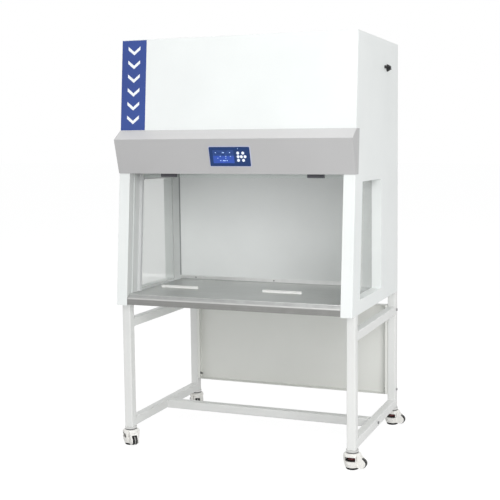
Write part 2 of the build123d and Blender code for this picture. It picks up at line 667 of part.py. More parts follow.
# ---- control canopy ----
def control_canopy():
    """Folded canopy with end cheeks that wrap the side walls, and a cut-out behind the bezel."""
    half = HALF + SKIN
    line = [
        (front_y(CANOPY_TOP) - SKIN / 2, CANOPY_TOP),
        (CREASE_Y, CREASE_Z),
        (CANOPY_FOOT_Y, CANOPY_BOTTOM),
        (CANOPY_FOOT_Y + CANOPY_FLANGE, CANOPY_BOTTOM),
    ]
    outer_bends = folded_x(line[:3], SKIN, BEND, -half, half)
    inner_half = INNER - FLANGE_GAP
    shell = outer_bends + folded_x(line[1:], SKIN, BEND, -inner_half, inner_half)
    cheek = [
        (front_y(CANOPY_TOP) - SKIN, CANOPY_TOP),
        (CREASE_Y + SKIN, CREASE_Z),
        (CANOPY_FOOT_Y, CANOPY_BOTTOM),
        (CANOPY_FOOT_Y + CANOPY_WRAP, CANOPY_BOTTOM),
        (front_y(CANOPY_TOP) + CANOPY_WRAP, CANOPY_TOP),
    ]
    for x in (-half, HALF):
        shell += outline_x(cheek, x, x + SKIN)
    x, z = BEZEL_WIDTH / 2 - BEZEL_RIM, BEZEL_HEIGHT / 2 - BEZEL_RIM
    shell -= FACE_FRAME * block(-x, x, -2 * BEZEL, 2 * BEZEL, -z, z)
    return shell


def key_spots():
    """Name, x and z of each key on the bezel."""
    pad = KEY_PAD_X
    return [
        ("key_power", KEY_COLUMN_X, KEY_PITCH),
        ("key_fan", KEY_COLUMN_X, 0),
        ("key_light", KEY_COLUMN_X, -KEY_PITCH),
        ("key_up", pad, KEY_PITCH),
        ("key_left", pad - KEY_SIDE, 0),
        ("key_right", pad + KEY_SIDE, 0),
        ("key_down", pad, -KEY_PITCH),
    ]


def pin_y(x, z, y0, y1, radius):
    """Cylinder along Y in the frame of the canopy's face."""
    return Pos(x, (y0 + y1) / 2, z) * Rot(90, 0, 0) * Cylinder(radius, y1 - y0)


def display_bezel():
    """Bezel with a recess for the screen and a hole for each key, counterbored for the key's flange."""
    plate = Rot(90, 0, 0) * extrude(RectangleRounded(BEZEL_WIDTH, BEZEL_HEIGHT, BEZEL_CORNER), amount=BEZEL)
    w, h = SCREEN_WIDTH / 2, SCREEN_HEIGHT / 2
    plate -= block(SCREEN_X - w, SCREEN_X + w, -BEZEL - CUT, -BEZEL + SCREEN_RECESS, -h, h)
    for _, x, z in key_spots():
        plate -= pin_y(x, z, -BEZEL - CUT, CUT, KEY_R + KEY_GAP)
        plate -= pin_y(x, z, -KEY_FLANGE - KEY_GAP, CUT, KEY_FLANGE_R + KEY_GAP)
    return FACE_FRAME * plate


def display_screen():
    """Screen seated in the bezel's recess."""
    w, h = SCREEN_WIDTH / 2, SCREEN_HEIGHT / 2
    seat = -BEZEL + SCREEN_RECESS
    return FACE_FRAME * block(SCREEN_X - w, SCREEN_X + w, seat - SCREEN, seat, -h, h)


def key(x, z):
    """Round key with a flange that keeps it in the bezel."""
    cap = pin_y(x, z, -BEZEL - KEY_PROUD, 0, KEY_R)
    cap = chamfer(cap.faces().sort_by(Axis.Y)[0].edges(), KEY_BEVEL)
    cap += pin_y(x, z, -KEY_FLANGE, 0, KEY_FLANGE_R)
    return FACE_FRAME * cap


def control_board():
    """Circuit board behind the bezel on four standoffs, with a switch under each key."""
    width = BEZEL_WIDTH - 4 * BEZEL_RIM
    height = BEZEL_HEIGHT - 3 * BEZEL_RIM
    face = KEY_TRAVEL + KEY_SLACK + SWITCH
    board = block(-width / 2, width / 2, face, face + BOARD, -height / 2, height / 2)
    for _, x, z in key_spots():
        board += pin_y(x, z, KEY_TRAVEL + KEY_SLACK, face, SWITCH_R)
    for x in (-width / 2 + STANDOFF_INSET, width / 2 - STANDOFF_INSET):
        for z in (-height / 2 + STANDOFF_INSET, height / 2 - STANDOFF_INSET):
            board += pin_y(x, z, 0, face, STANDOFF_R)
    return FACE_FRAME * board


# ---- air path ----
def diffuser_tray():
    """Perforated tray under the filter, hung between the side walls."""
    low, high = DIFFUSER_Z, HEPA_BOTTOM
    tray = block(-INNER, INNER, AIR_FRONT, BACK_WALL_Y, low, high)
    tray -= block(-INNER + SKIN, INNER - SKIN, AIR_FRONT + SKIN, BACK_WALL_Y - SKIN, low + SKIN, high + CUT)
    step_x = (2 * INNER - 2 * DIFFUSER_MARGIN_X) / DIFFUSER_COLUMNS
    step_y = (BACK_WALL_Y - AIR_FRONT - 2 * DIFFUSER_MARGIN_Y) / DIFFUSER_ROWS
    middle = (AIR_FRONT + BACK_WALL_Y) / 2
    cutters = []
    for i in range(DIFFUSER_COLUMNS):
        for j in range(DIFFUSER_ROWS):
            x = (i - (DIFFUSER_COLUMNS - 1) / 2) * step_x
            y = middle + (j - (DIFFUSER_ROWS - 1) / 2) * step_y
            cutters.append(Pos(x, y, low) * Box(DIFFUSER_HOLE_X, DIFFUSER_HOLE_Y, 4 * SKIN))
    return tray - cutters


def hepa_filter():
    """Filter: a deep frame round a pleated pack."""
    depth = BACK_WALL_Y - AIR_FRONT
    middle = (AIR_FRONT + BACK_WALL_Y) / 2
    inner_x, inner_y = 2 * INNER - 2 * HEPA_FRAME, depth - 2 * HEPA_FRAME
    frame = Box(2 * INNER, depth, HEPA) - Box(inner_x, inner_y, HEPA + 2 * CUT)
    reach = inner_x / 2 + FILTER_SEAT
    pitch = 2 * reach / HEPA_PLEATS
    low, high = -HEPA / 2 + HEPA_INSET, HEPA / 2 - HEPA_INSET - HEPA_PAPER
    folds = []
    for i in range(HEPA_PLEATS + 1):
        folds.append((-reach + i * pitch, low if i % 2 else high))
    back = [(x, z + HEPA_PAPER) for x, z in reversed(folds)]
    face = Plane.XZ * make_face(Polyline(*(folds + back), close=True))
    pack = extrude(face, amount=inner_y / 2 + FILTER_SEAT, both=True)
    return Pos(0, middle, HEPA_BOTTOM + HEPA / 2) * (frame + pack)


def plenum_box():
    """Pressure box on the filter, open below, with the blower's outlet in its deck."""
    low, high = HEPA_TOP, DECK_Z
    box = block(-INNER, INNER, AIR_FRONT, BACK_WALL_Y, low, high)
    box -= block(-INNER + SKIN, INNER - SKIN, AIR_FRONT + SKIN, BACK_WALL_Y - SKIN, low - CUT, high - SKIN)
    y0, y1 = outlet_span()
    half = FAN_WIDTH / 2 - FAN_SHEET
    box -= block(-half, half, y0 + FAN_SHEET, y1 - FAN_SHEET, high - 3 * SKIN, high + CUT)
    box += block(-INNER, INNER, BACK_WALL_Y, REAR_Y - SKIN, high - SKIN, high)
    return box


def outlet_span():
    """Y of the blower outlet's front and rear walls."""
    rear = FAN_Y + FAN_SCROLL_STEP + FAN_SCROLL_R + 2 * FAN_SCROLL_STEP
    return rear - FAN_OUTLET, rear


def scroll_face(inset):
    """Scroll outline: three quarter arcs that grow by a step, then the outlet duct down to the deck."""
    step = FAN_SCROLL_STEP
    r1, r2, r3 = (FAN_SCROLL_R + n * step - inset for n in range(3))
    drop = DECK_Z - FAN_Z
    outer = step + FAN_SCROLL_R + 2 * step - inset
    inner = step + FAN_SCROLL_R + 2 * step - FAN_OUTLET + inset
    low = drop - (CUT if inset else 0)
    half_turn = math.sqrt(0.5)
    first = ThreePointArc((0, -r1), (-r1 * half_turn, -r1 * half_turn), (-r1, 0))
    second = ThreePointArc((-r1, 0), (step - r2 * half_turn, r2 * half_turn), (step, r2))
    third_x, third_y = step + r3 * half_turn, r3 * half_turn - step
    third = ThreePointArc((step, r2), (third_x, third_y), (step + r3, -step))
    duct = Polyline((outer, -step), (outer, low), (inner, low), (inner, -r1), (0, -r1))
    return Plane.YZ * make_face([first, second, third, duct])


def blower_housing():
    """Sheet scroll with an inlet in each side and a flange on the deck."""
    half = FAN_WIDTH / 2
    body = Pos(-half, FAN_Y, FAN_Z) * extrude(scroll_face(0), amount=2 * half)
    bore = extrude(scroll_face(FAN_SHEET), amount=2 * (half - FAN_SHEET))
    body -= Pos(-half + FAN_SHEET, FAN_Y, FAN_Z) * bore
    body -= rod_x(-half - CUT, half + CUT, FAN_Y, FAN_Z, FAN_INLET_R)
    for side in (-1, 1):
        edge = side * half
        tip = side * (half + FAN_RIM)
        ring = rod_x(min(edge, tip), max(edge, tip), FAN_Y, FAN_Z, FAN_INLET_R + FAN_RIM)
        body += ring - rod_x(-2 * half, 2 * half, FAN_Y, FAN_Z, FAN_INLET_R)
    y0, y1 = outlet_span()
    rim = FAN_FLANGE
    flange = block(-half - rim, half + rim, y0 - rim, y1 + rim, DECK_Z, DECK_Z + FAN_SHEET)
    x, low, high = half - FAN_SHEET, DECK_Z - CUT, DECK_Z + FAN_SHEET + CUT
    flange -= block(-x, x, y0 + FAN_SHEET, y1 - FAN_SHEET, low, high)
    return body + flange


def blower_impeller():
    """Forward-curved wheel: two rings, a centre plate with a hub, and blades round the rim."""
    half = IMPELLER_WIDTH / 2
    wheel = rod_x(-IMPELLER_SHEET / 2, IMPELLER_SHEET / 2, 0, 0, IMPELLER_R)
    wheel += rod_x(-SPIDER, SPIDER, 0, 0, 3 * SHAFT_R)
    wheel -= rod_x(-half, half, 0, 0, SHAFT_R + SHAFT_GAP)
    for x in (-half, half - IMPELLER_SHEET):
        ring = rod_x(x, x + IMPELLER_SHEET, 0, 0, IMPELLER_R)
        wheel += ring - rod_x(x - CUT, x + 2 * IMPELLER_SHEET, 0, 0, IMPELLER_RING)
    chord = IMPELLER_R - IMPELLER_RING - 2 * BLADE_MARGIN
    middle = (IMPELLER_R + IMPELLER_RING) / 2
    for i in range(IMPELLER_BLADES):
        turn = 360.0 / IMPELLER_BLADES * i
        sheet = Box(2 * (half - BLADE_MARGIN), chord, BLADE_SHEET)
        blade = Pos(0, middle, 0) * Rot(BLADE_PITCH, 0, 0) * sheet
        wheel += Rot(turn, 0, 0) * blade
    return Pos(0, FAN_Y, FAN_Z) * wheel


def blower_motor():
    """Motor inside the impeller's left half, its shaft through the hub and three arms on the inlet ring."""
    start = -FAN_WIDTH / 2 - 2 * FAN_RIM
    body = rod_x(start, start + MOTOR_LENGTH, 0, 0, MOTOR_R)
    body += rod_x(start + MOTOR_LENGTH, SPIDER + SHAFT_END, 0, 0, SHAFT_R)
    for i in range(3):
        reach = FAN_INLET_R + FAN_RIM - ARM_INSET
        arm = block(start, start + FAN_RIM, -SPIDER / 2, SPIDER / 2, MOTOR_R - FAN_RIM, reach)
        body += Rot(120.0 * i, 0, 0) * arm
    return Pos(0, FAN_Y, FAN_Z) * body


def work_lamp():
    """Lamp tube between two holders under the diffuser."""
    z = DIFFUSER_Z - LAMP_DROP
    half = LAMP_LENGTH / 2
    solids = [rod_x(-half, half, LAMP_Y, z, LAMP_R)]
    for side in (-1, 1):
        edge, tip = side * half, side * (half + LAMP_HOLDER)
        reach = LAMP_R + HOLDER_WALL
        holder = block(min(edge, tip), max(edge, tip), LAMP_Y - reach, LAMP_Y + reach, z - reach, DIFFUSER_Z)
        solids.append(fillet(holder.edges().filter_by(Axis.X).sort_by(Axis.Z)[:2], 3 * EDGE_RADIUS))
    return group(solids)


def power_inlet():
    """Cable gland on the right wall with a fuse holder beside it."""
    collar = HALF + INLET_COLLAR
    neck = collar + INLET_NUT
    end = neck + INLET_NUT
    gland = rod_x(HALF, collar, INLET_Y, INLET_Z, INLET_R)
    nut = Rot(0, 90, 0) * extrude(RegularPolygon(INLET_NUT_R, 6), amount=INLET_NUT)
    gland += Pos(collar, INLET_Y, INLET_Z) * nut
    gland += rod_x(neck, end, INLET_Y, INLET_Z, INLET_NECK_R)
    gland -= rod_x(HALF + INLET_FLOOR, end + CUT, INLET_Y, INLET_Z, INLET_BORE_R)
    y, z = INLET_Y + FUSE_OFFSET, INLET_Z + FUSE_LIFT
    cap = rod_x(HALF, collar, y, z, FUSE_R)
    slot, reach = FUSE_SLOT / 2, FUSE_SLOT_REACH
    cap -= block(collar - FUSE_SLOT, collar + CUT, y - reach, y + reach, z - slot, z + slot)
    return group([gland, cap])


# ---- levelling casters, modelled round their swivel axis with the wheel trailing to +X ----
def caster_stem():
    """Race and stem that are fixed in the leg."""
    top = LEG_BOTTOM
    race = rod_z(0, 0, top - CASTER_PLATE, top, CASTER_RACE_R)
    skirt = rod_z(0, 0, top - CASTER_PLATE - CASTER_SKIRT, top - CASTER_PLATE, CASTER_RACE_R)
    skirt -= rod_z(0, 0, top - 2 * CASTER_PLATE - CASTER_SKIRT, top - CASTER_PLATE, CASTER_BOSS_R)
    return race + skirt + rod_z(0, 0, top, top + CASTER_STEM, CASTER_STEM_R)


def caster_housing():
    """Cast housing: a round belly with thumb-wheel windows, a fork with two cheeks, and the foot's recess."""
    top = LEG_BOTTOM - CASTER_PLATE - CASTER_SKIRT - HOUSING_GAP
    body = belly(top) & block(-NOSE_R, NOSE_R, -FLANK, FLANK, HOUSING_BOTTOM, top)
    waist = WHEEL_REACH - WHEEL_R
    body -= block(waist, NOSE_R + CUT, -FLANK - CUT, -CHEEK, 0, top + CUT)
    body -= block(waist, NOSE_R + CUT, CHEEK, FLANK + CUT, 0, top + CUT)
    body += cast_fork(top)
    slot = WHEEL_WIDTH / 2 + WHEEL_GAP
    well = Plane.XZ * Pos(WHEEL_REACH, AXIS_Z) * Circle(WHEEL_R + WELL_GAP)
    body -= extrude(well, amount=slot, both=True)
    body -= block(WHEEL_REACH, 4 * NOSE_R, -slot, slot, 0, top + CUT)
    body -= rod_z(0, 0, POCKET_BOTTOM, POCKET_TOP, POCKET_R)
    body -= block(-WINDOW_NEAR, WINDOW_FAR, -FLANK - CUT, FLANK + CUT, POCKET_BOTTOM, POCKET_TOP)
    for z0, z1 in ((POCKET_BOTTOM, THUMB_Z - THUMB_GAP), (THUMB_Z + THUMB_HEIGHT + THUMB_GAP, POCKET_TOP)):
        body += rod_z(0, 0, z0, z1, SCREW_R + SCREW_BOSS)
    body -= rod_z(0, 0, 0, SCREW_TOP + FOOT_TRAVEL + CUT, SCREW_R + CASTER_FIT)
    recess = SOLE + FOOT_TRAVEL + RECESS_GAP
    body -= rod_z(0, 0, 0, recess, SOLE_R + RECESS_GAP)
    body -= rod_z(0, 0, 0, recess + NECK, NECK_R + RECESS_GAP)
    body += rod_z(0, 0, top, LEG_BOTTOM - CASTER_PLATE - HOUSING_GAP, CASTER_BOSS_R - CASTER_FIT)
    axle = Pos(WHEEL_REACH, 0, AXIS_Z) * Rot(90, 0, 0) * Cylinder(AXLE_R, 2 * (CHEEK + AXLE_END))
    return body + axle


def belly(top):
    """Turned body of the housing: a bulging wall from its foot to a rounded shoulder under the race."""
    shoulder = top - HOUSING_SHOULDER
    middle = (HOUSING_BOTTOM + shoulder) / 2
    soft = math.sqrt(0.5)
    neck = CASTER_RACE_R - RACE_LAP
    curve = (neck + (NOSE_R - neck) * soft, shoulder + HOUSING_SHOULDER * soft)
    wall = ThreePointArc((HOUSING_FOOT_R, HOUSING_BOTTOM), (HOUSING_BELLY_R, middle), (NOSE_R, shoulder))
    bend = ThreePointArc((NOSE_R, shoulder), curve, (neck, top))
    rest = Polyline((neck, top), (0, top), (0, HOUSING_BOTTOM), (HOUSING_FOOT_R, HOUSING_BOTTOM))
    return revolve(Plane.XZ * make_face([wall, bend, rest]), axis=Axis.Z)


def cast_fork(top):
    """Fork from the belly to round cheeks at the axle, its upper edge falling from the shoulder."""
    start, edge = NOSE_R / 2, top - FORK_DROP
    diagonal = CHEEK_R * math.sqrt(0.5)
    cheek = Pos(WHEEL_REACH, AXIS_Z) * Circle(CHEEK_R)
    outline = [
        (start, HOUSING_BOTTOM),
        (WHEEL_REACH, AXIS_Z - CHEEK_R),
        (WHEEL_REACH + CHEEK_R, AXIS_Z),
        (WHEEL_REACH + diagonal, AXIS_Z + diagonal),
        (start + FORK_SET, edge),
        (start, edge),
    ]
    arm = make_face(Polyline(*outline, close=True))
    return extrude(Plane.XZ * (arm + cheek), amount=CHEEK, both=True)


def caster_wheel():
    """Nylon wheel with two treads and a recess between hub and rim on each side."""
    half = WHEEL_WIDTH / 2
    hub, rim, bed = 2 * AXLE_R, WHEEL_R - WHEEL_RIM, WHEEL_R - TREAD_DEPTH
    dish = half - WHEEL_DISH
    slant = WHEEL_DISH / 2
    upper = [
        (bed, TREAD_GROOVE),
        (WHEEL_R, TREAD_GROOVE),
        (WHEEL_R, dish),
        (WHEEL_R - WHEEL_DISH, half),
        (rim, half),
        (rim - slant, dish),
        (hub + slant, dish),
        (hub, half),
        (AXLE_R + CASTER_FIT, half),
    ]
    lower = [(x, -z) for x, z in reversed(upper)]
    turned = revolve(Plane.XZ * make_face(Polyline(*(lower + upper), close=True)), axis=Axis.Z)
    return Pos(WHEEL_REACH, 0, AXIS_Z) * Rot(90, 0, 0) * turned


def caster_thumb():
    """Lobed thumb wheel on the foot's screw."""
    disc = Circle(THUMB_R)
    for i in range(THUMB_LOBES):
        turn = math.radians(360.0 / THUMB_LOBES * i)
        reach = THUMB_R + NOTCH_OUT
        disc -= Pos(reach * math.cos(turn), reach * math.sin(turn)) * Circle(NOTCH_R)
    disc -= Circle(SCREW_R + CASTER_FIT)
    return Pos(0, 0, THUMB_Z) * extrude(disc, amount=THUMB_HEIGHT)


def caster_foot():
    """Screwed foot: rubber sole, neck and screw."""
    profile = [
        (0, 0),
        (SOLE_R - SOLE_BEVEL, 0),
        (SOLE_R, SOLE_BEVEL),
        (SOLE_R, SOLE - SOLE_BEVEL / 2),
        (SOLE_R - SOLE_BEVEL / 2, SOLE),
        (NECK_R, SOLE),
        (NECK_R - NECK_TAPER, SOLE + NECK),
        (SCREW_R, SOLE + NECK),
        (SCREW_R, SCREW_TOP),
        (0, SCREW_TOP),
    ]
    return revolve(Plane.XZ * make_face(Polyline(*profile, close=True)), axis=Axis.Z)


def corner(code):
    """X and Y of a leg's axis."""
    side = -1 if code[1] == "l" else 1
    end = -1 if code[0] == "f" else 1
    return side * LEG_X, end * LEG_Y


def build():
    """Writes every sub-part."""
    write("stand_frame_left", stand_frame(-1))
    write("stand_frame_right", stand_frame(1))
    write("stand_stretcher", stand_stretcher())
    write("rear_lower_panel", rear_lower_panel())
    write("stand_bolts", stand_bolts())
    write("side_wall_left", side_wall(-1))
    write("side_wall_right", side_wall(1))
    write("side_glass_left", side_glass(-1))
    write("side_glass_right", side_glass(1))
    write("base_pan", base_pan())
    write("work_table", work_table())
    write("tray_pull_left", tray_pull(PULL_LEFT_X))
    write("tray_pull_right", tray_pull(PULL_RIGHT_X))
    write("back_wall", back_wall())
    write("rear_panel", rear_panel())
    write("roof_panel", roof_panel())
    write("intake_filter", intake_filter())
    write("front_panel", front_panel())
    write("sash_glass", sash_glass())
    write("sash_sliders", sash_sliders())
    write("sash_track_left", sash_track(-1))
    write("sash_track_right", sash_track(1))
    write("sash_grip_left", sash_grip(-1))
    write("sash_grip_right", sash_grip(1))
    write("control_canopy", control_canopy())
    write("display_bezel", display_bezel())
    write("display_screen", display_screen())
    write("control_board", control_board())
    for name, x, z in key_spots():
        write(name, key(x, z))
    write("diffuser_tray", diffuser_tray())
    write("hepa_filter", hepa_filter())
    write("plenum_box", plenum_box())
    write("blower_housing", blower_housing())
    write("blower_impeller", blower_impeller())
    write("blower_motor", blower_motor())
    write("work_lamp", work_lamp())
    write("power_inlet", power_inlet())
    stem = caster_stem()
    housing = caster_housing()
    wheel = caster_wheel()
    thumb = caster_thumb()
    foot = caster_foot()
    write("caster_stems", group([Pos(*corner(code), 0) * stem for code in CASTER_TURNS]))
    for code, turn in CASTER_TURNS.items():
        place = Pos(*corner(code), 0) * Rot(0, 0, turn)
        write(f"caster_housing_{code}", place * housing)
        write(f"caster_wheel_{code}", place * wheel)
        write(f"caster_thumb_wheel_{code}", place * thumb)
        write(f"caster_foot_{code}", place * foot)


build()
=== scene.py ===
import json
import math

import bpy
import numpy as np
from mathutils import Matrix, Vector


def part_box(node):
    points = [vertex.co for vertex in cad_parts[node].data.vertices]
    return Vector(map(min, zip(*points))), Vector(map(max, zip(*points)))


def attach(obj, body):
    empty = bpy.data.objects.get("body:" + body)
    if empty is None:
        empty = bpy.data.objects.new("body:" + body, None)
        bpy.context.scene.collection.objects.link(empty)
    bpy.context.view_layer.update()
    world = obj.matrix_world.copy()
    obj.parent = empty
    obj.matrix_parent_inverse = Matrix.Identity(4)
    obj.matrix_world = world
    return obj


# Looks of a laminar flow hood on its castered stand. Metres: the front faces -Y, +X is right, +Z is up.

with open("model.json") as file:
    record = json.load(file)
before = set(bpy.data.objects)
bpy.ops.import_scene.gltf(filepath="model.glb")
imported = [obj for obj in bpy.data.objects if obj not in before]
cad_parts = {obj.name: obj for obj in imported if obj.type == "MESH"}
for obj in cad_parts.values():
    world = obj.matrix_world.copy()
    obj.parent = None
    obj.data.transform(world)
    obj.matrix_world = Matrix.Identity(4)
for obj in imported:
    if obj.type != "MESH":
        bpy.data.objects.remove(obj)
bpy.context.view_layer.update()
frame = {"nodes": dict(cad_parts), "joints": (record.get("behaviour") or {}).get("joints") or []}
NODES = frame["nodes"]

# ---- view ----
CAMERA_PLACE = (1.6803, -4.1117, 1.3852)
CAMERA_TURN = 19.383  # degrees, turned left from straight ahead
CAMERA_PITCH = -4.956
CAMERA_ROLL = 0.346
FOCAL_PIXELS = 942.4  # at an image 500 pixels wide
IMAGE = 500
VIEW_CENTRE = (310.0, 225.74)  # pixel where the optical axis meets the image
SENSOR = 36.0

# ---- light ----
SKY = 0.50
SKY_COLOR = (0.985, 0.995, 1.0)
LAMP_AIM = (0.0, -0.2, 1.2)
LAMP_DISTANCE = 6.0
LAMP_SIZE = 3.4
# Each lamp: degrees right of straight ahead, degrees above level, brightness of a white sheet turned to it.
FRONT_LAMP = (36.0, 15.0, 0.53)
TOP_LAMP = (20.0, 80.0, 0.60)
FLOOR_REACH = 60.0
FLOOR_TONE = 0.75  # what the floor throws back on the part
FLOOR_WHITE = 1.15
FLOOR_GLOW = 0.80  # how much of the floor that is looked at is plain white

# ---- colours, linear ----
WHITE = (0.84, 0.865, 0.855)
WHITE_SHADE = (0.80, 0.825, 0.815)
CHAMBER = (0.84, 0.86, 0.85)
CHAMBER_SHADE = (0.80, 0.82, 0.81)
STAND = (0.79, 0.795, 0.78)
STAND_SHADE = (0.75, 0.755, 0.74)
PAN_GREY = (0.80, 0.805, 0.77)
PAN_SHADE = (0.76, 0.765, 0.73)
CANOPY = (0.49, 0.487, 0.488)
CANOPY_SHADE = (0.465, 0.462, 0.463)
STEEL = (0.64, 0.65, 0.64)
STEEL_SHADE = (0.48, 0.49, 0.48)
# Painted light on the table's one steel sheet: the nose and apron tones are painted shade, the bend tone a
# painted highlight, the upstand tone painted light.
NOSE_PAINTED_SHADE = (0.33, 0.335, 0.33)
BEND_PAINTED_HIGHLIGHT = (0.52, 0.52, 0.51)
APRON_PAINTED_SHADE = (0.28, 0.28, 0.27)
UPSTAND_PAINTED_LIGHT = (0.86, 0.87, 0.86)
RAIL_GREY = (0.66, 0.67, 0.67)
# Painted shade on the chamber side of the side walls.
CHAMBER_SIDE_PAINTED_SHADE = (0.60, 0.615, 0.605)
ZINC = (0.42, 0.42, 0.42)
ZINC_SHADE = (0.30, 0.30, 0.31)
ALLOY = (0.72, 0.73, 0.74)
ALLOY_SHADE = (0.64, 0.65, 0.66)
DUCT = (0.60, 0.62, 0.64)
DUCT_SHADE = (0.48, 0.50, 0.52)
PLATED = (0.66, 0.66, 0.65)
PLATED_SHADE = (0.56, 0.56, 0.55)
# Painted shade under the caster race's rim.
RACE_RIM_PAINTED_SHADE = (0.16, 0.16, 0.16)
FOOT_NECK = (0.42, 0.42, 0.42)
# Side glass: a faint tint of the glass itself, greyed further as painted shade for the darker view through
# it.
SIDE_TINT_AND_SHADE = (0.765, 0.78, 0.77)
CLEAR_TINT = (0.955, 0.985, 0.972)
LABEL_BLUE = (0.028, 0.070, 0.30)
LABEL_BLUE_SHADE = (0.022, 0.055, 0.25)
MARK_WHITE = (0.90, 0.93, 0.96)
BEZEL_BLUE = (0.012, 0.046, 0.175)
BEZEL_BLUE_SHADE = (0.010, 0.038, 0.145)
TRIM_PALE = (0.56, 0.58, 0.70)
TRIM_PALE_SHADE = (0.53, 0.55, 0.67)
SCREEN_UPPER = (0.012, 0.038, 0.15)
SCREEN_LOWER = (0.026, 0.070, 0.38)
SCREEN_CLOUD = (0.030, 0.075, 0.26)
SCREEN_MARK = (0.42, 0.60, 0.95)
KEY_LIT = (0.80, 0.87, 0.97)
LAMP_LIT = (0.92, 0.92, 0.90)
BOARD_GREEN = (0.02, 0.16, 0.06)
BOARD_SHADE = (0.015, 0.11, 0.04)
PAPER = (0.84, 0.84, 0.80)
PAPER_SHADE = (0.76, 0.76, 0.71)
GRIP = (0.10, 0.10, 0.115)
GRIP_SHADE = (0.13, 0.13, 0.145)
NYLON = (0.80, 0.80, 0.76)
NYLON_SHADE = (0.74, 0.74, 0.70)
BAR_WHITE = (0.88, 0.88, 0.86)
BAR_SHADE = (0.84, 0.84, 0.82)
MOTOR = (0.03, 0.03, 0.032)
MOTOR_SHADE = (0.045, 0.045, 0.047)
INLET = (0.015, 0.015, 0.016)
INLET_SHADE = (0.03, 0.03, 0.031)
IVORY = (0.84, 0.83, 0.80)
IVORY_SHADE = (0.79, 0.775, 0.74)
# Painted highlight down the middle of a caster's tyre.
WHEEL_PAINTED_HIGHLIGHT = (0.34, 0.34, 0.33)
THUMB_RED = (0.13, 0.014, 0.017)
THUMB_SHADE = (0.08, 0.010, 0.012)
BLACK = (0.010, 0.010, 0.011)
BLACK_SHADE = (0.018, 0.018, 0.019)
SEALANT = (0.26, 0.27, 0.27)

# ---- patterns ----
DRIFT = (0.35, 0.65)  # the part of a noise's range over which one colour drifts to the other
SPREAD = (0.3, 0.7)  # the wider part that streaks, lines and gloss take
FADE = (1.0, 0.0)  # a mask that is full below its zone's edge and gone above it

# ---- zones of a finish: each pair is where one colour ends and the next is full ----
UPSTAND_FOOT = (-0.004, -0.003)  # depth under the table's top
NOSE_TOP = (0.0010, 0.0030)
NOSE_DROP = 0.019  # depth at which the nose ends and the apron starts
APRON_BLEND = 0.002
BEND_RISE = 0.001  # the bend's middle over the nose's end
BEND_EDGE = (0.0020, 0.0040)  # distance from the bend's middle
NOSE_DULLNESS = 0.18  # roughness that the nose and apron have over the top
INNER_SKIN_EDGE = (0.0004, 0.0008)  # outward from the inner skin
SCREEN_SPLIT = (0.52, 0.60)  # share of the screen's height between its two fields
HUB_EDGE = (0.0148, 0.0153)  # distance from the wheel's axle
MIDDLE_BAND_EDGE = (0.0028, 0.0032)  # distance from the wheel's middle
POCKET_WALL = (0.0292, 0.0298)  # distance from the swivel's axis
POCKET_ROOF = (0.0572, 0.0576)  # height over the floor
RACE_RIM = (0.0745, 0.0765)
SOLE_TOP = (0.0086, 0.0090)

# ---- added pieces ----
LABEL_WIDTH = 0.123
LABEL_THICK = 0.0004
LABEL_MARGIN = 0.001  # bare sheet round the label
LABEL_CORNER = 0.0015
CHEVRONS = 6
CHEVRONS_REACH = 0.92  # share of the label's height that their pitch divides
CHEVRON_WIDTH = 0.060
CHEVRON_DROP = 0.024
CHEVRON_STROKE = 0.015
BEZEL_CORNER = 0.004
TRIM = 0.0050  # width of the pale trim round the display's bezel
TRIM_THICK = 0.0012
TRIM_GAP = 0.0002
MARK_WIDTH = 0.0045  # one lit bar of the screen
MARK_THICK = 0.0001
MARK_ROUNDING = 0.8  # corner of a bar, as a share of its half height
# Rows of bars: half height of a bar, then row height and places across as shares of the screen's half sizes.
MARK_ROWS = (
    (0.0018, 0.62, (-0.72, -0.06, 0.05, 0.62)),
    (0.0012, 0.05, (-0.30, 0.22, 0.66)),
    (0.0010, -0.22, (-0.55, 0.20)),
    (0.0016, -0.62, (-0.30, -0.05, 0.03, 0.12, 0.30)),
)
STATUS_R = 0.0013  # status light over the keys
STATUS_THICK = 0.0002
STATUS_SPOT = (0.44, 0.84)  # shares of the bezel's half sizes
SEAL = 0.0045  # leg of the sealant bead in the chamber's rear corners
SCREW_R = 0.0038
SCREW_HEAD = 0.0022
SCREW_EYE = 0.02  # innermost ring of a head, as a share of its radius
SCREW_BRIM = 0.45  # height at the rim, as a share of the head's
SLOT_HALF = 0.14  # half width of the cross slot, as a share of the head's radius
SLOT_REACH = 0.62  # half length of the cross slot, as the same share
SLOT_DEPTH = 0.45  # as a share of the head's height
SCREW_PITCH = 0.18
SCREW_INSET = 0.014  # from the edge of the rear and roof panels
ROOF_SCREW_SHARE = 0.1  # the roof's heads are almost flush
UPSTAND_SCREW_DROP = 0.0095
UPSTAND_SCREW_SINK = 0.002  # the upstand's face in front of the table's rear
UPSTAND_SCREWS = (-0.42, 0.0, 0.42)
INLET_SCREW = (0.229, 1.732)  # Y and Z on the right wall

# ---- reading a flat face from a node ----
LOOKS_ALONG = 0.8  # cosine to the asked direction, at the least
SAME_TURN = 0.9999  # cosine between faces of one plane
LEVEL_DIGITS = 4
LEVEL_SLACK = 2e-4


# ================================================================ meshes

def piece(name, points, faces, body, finish):
    """A flat-shaded mesh piece in the part's frame that rides on a body, with its finish and slot."""
    mesh = bpy.data.meshes.new(name)
    mesh.from_pydata(np.asarray(points, float).tolist(), [], [list(map(int, f)) for f in faces])
    mesh.materials.append(finish)
    mesh.update()
    shown = bpy.data.objects.new(name, mesh)
    bpy.context.scene.collection.objects.link(shown)
    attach(shown, body)


def grid_quads(rows, columns):
    """Quads between neighbouring points of a rows by columns grid whose last column joins the first."""
    row, column = np.meshgrid(np.arange(rows - 1), np.arange(columns), indexing="ij")
    right = (column + 1) % columns
    near, far = row * columns, (row + 1) * columns
    corners = [near + column, near + right, far + right, far + column]
    return np.stack([c.ravel() for c in corners], axis=1)


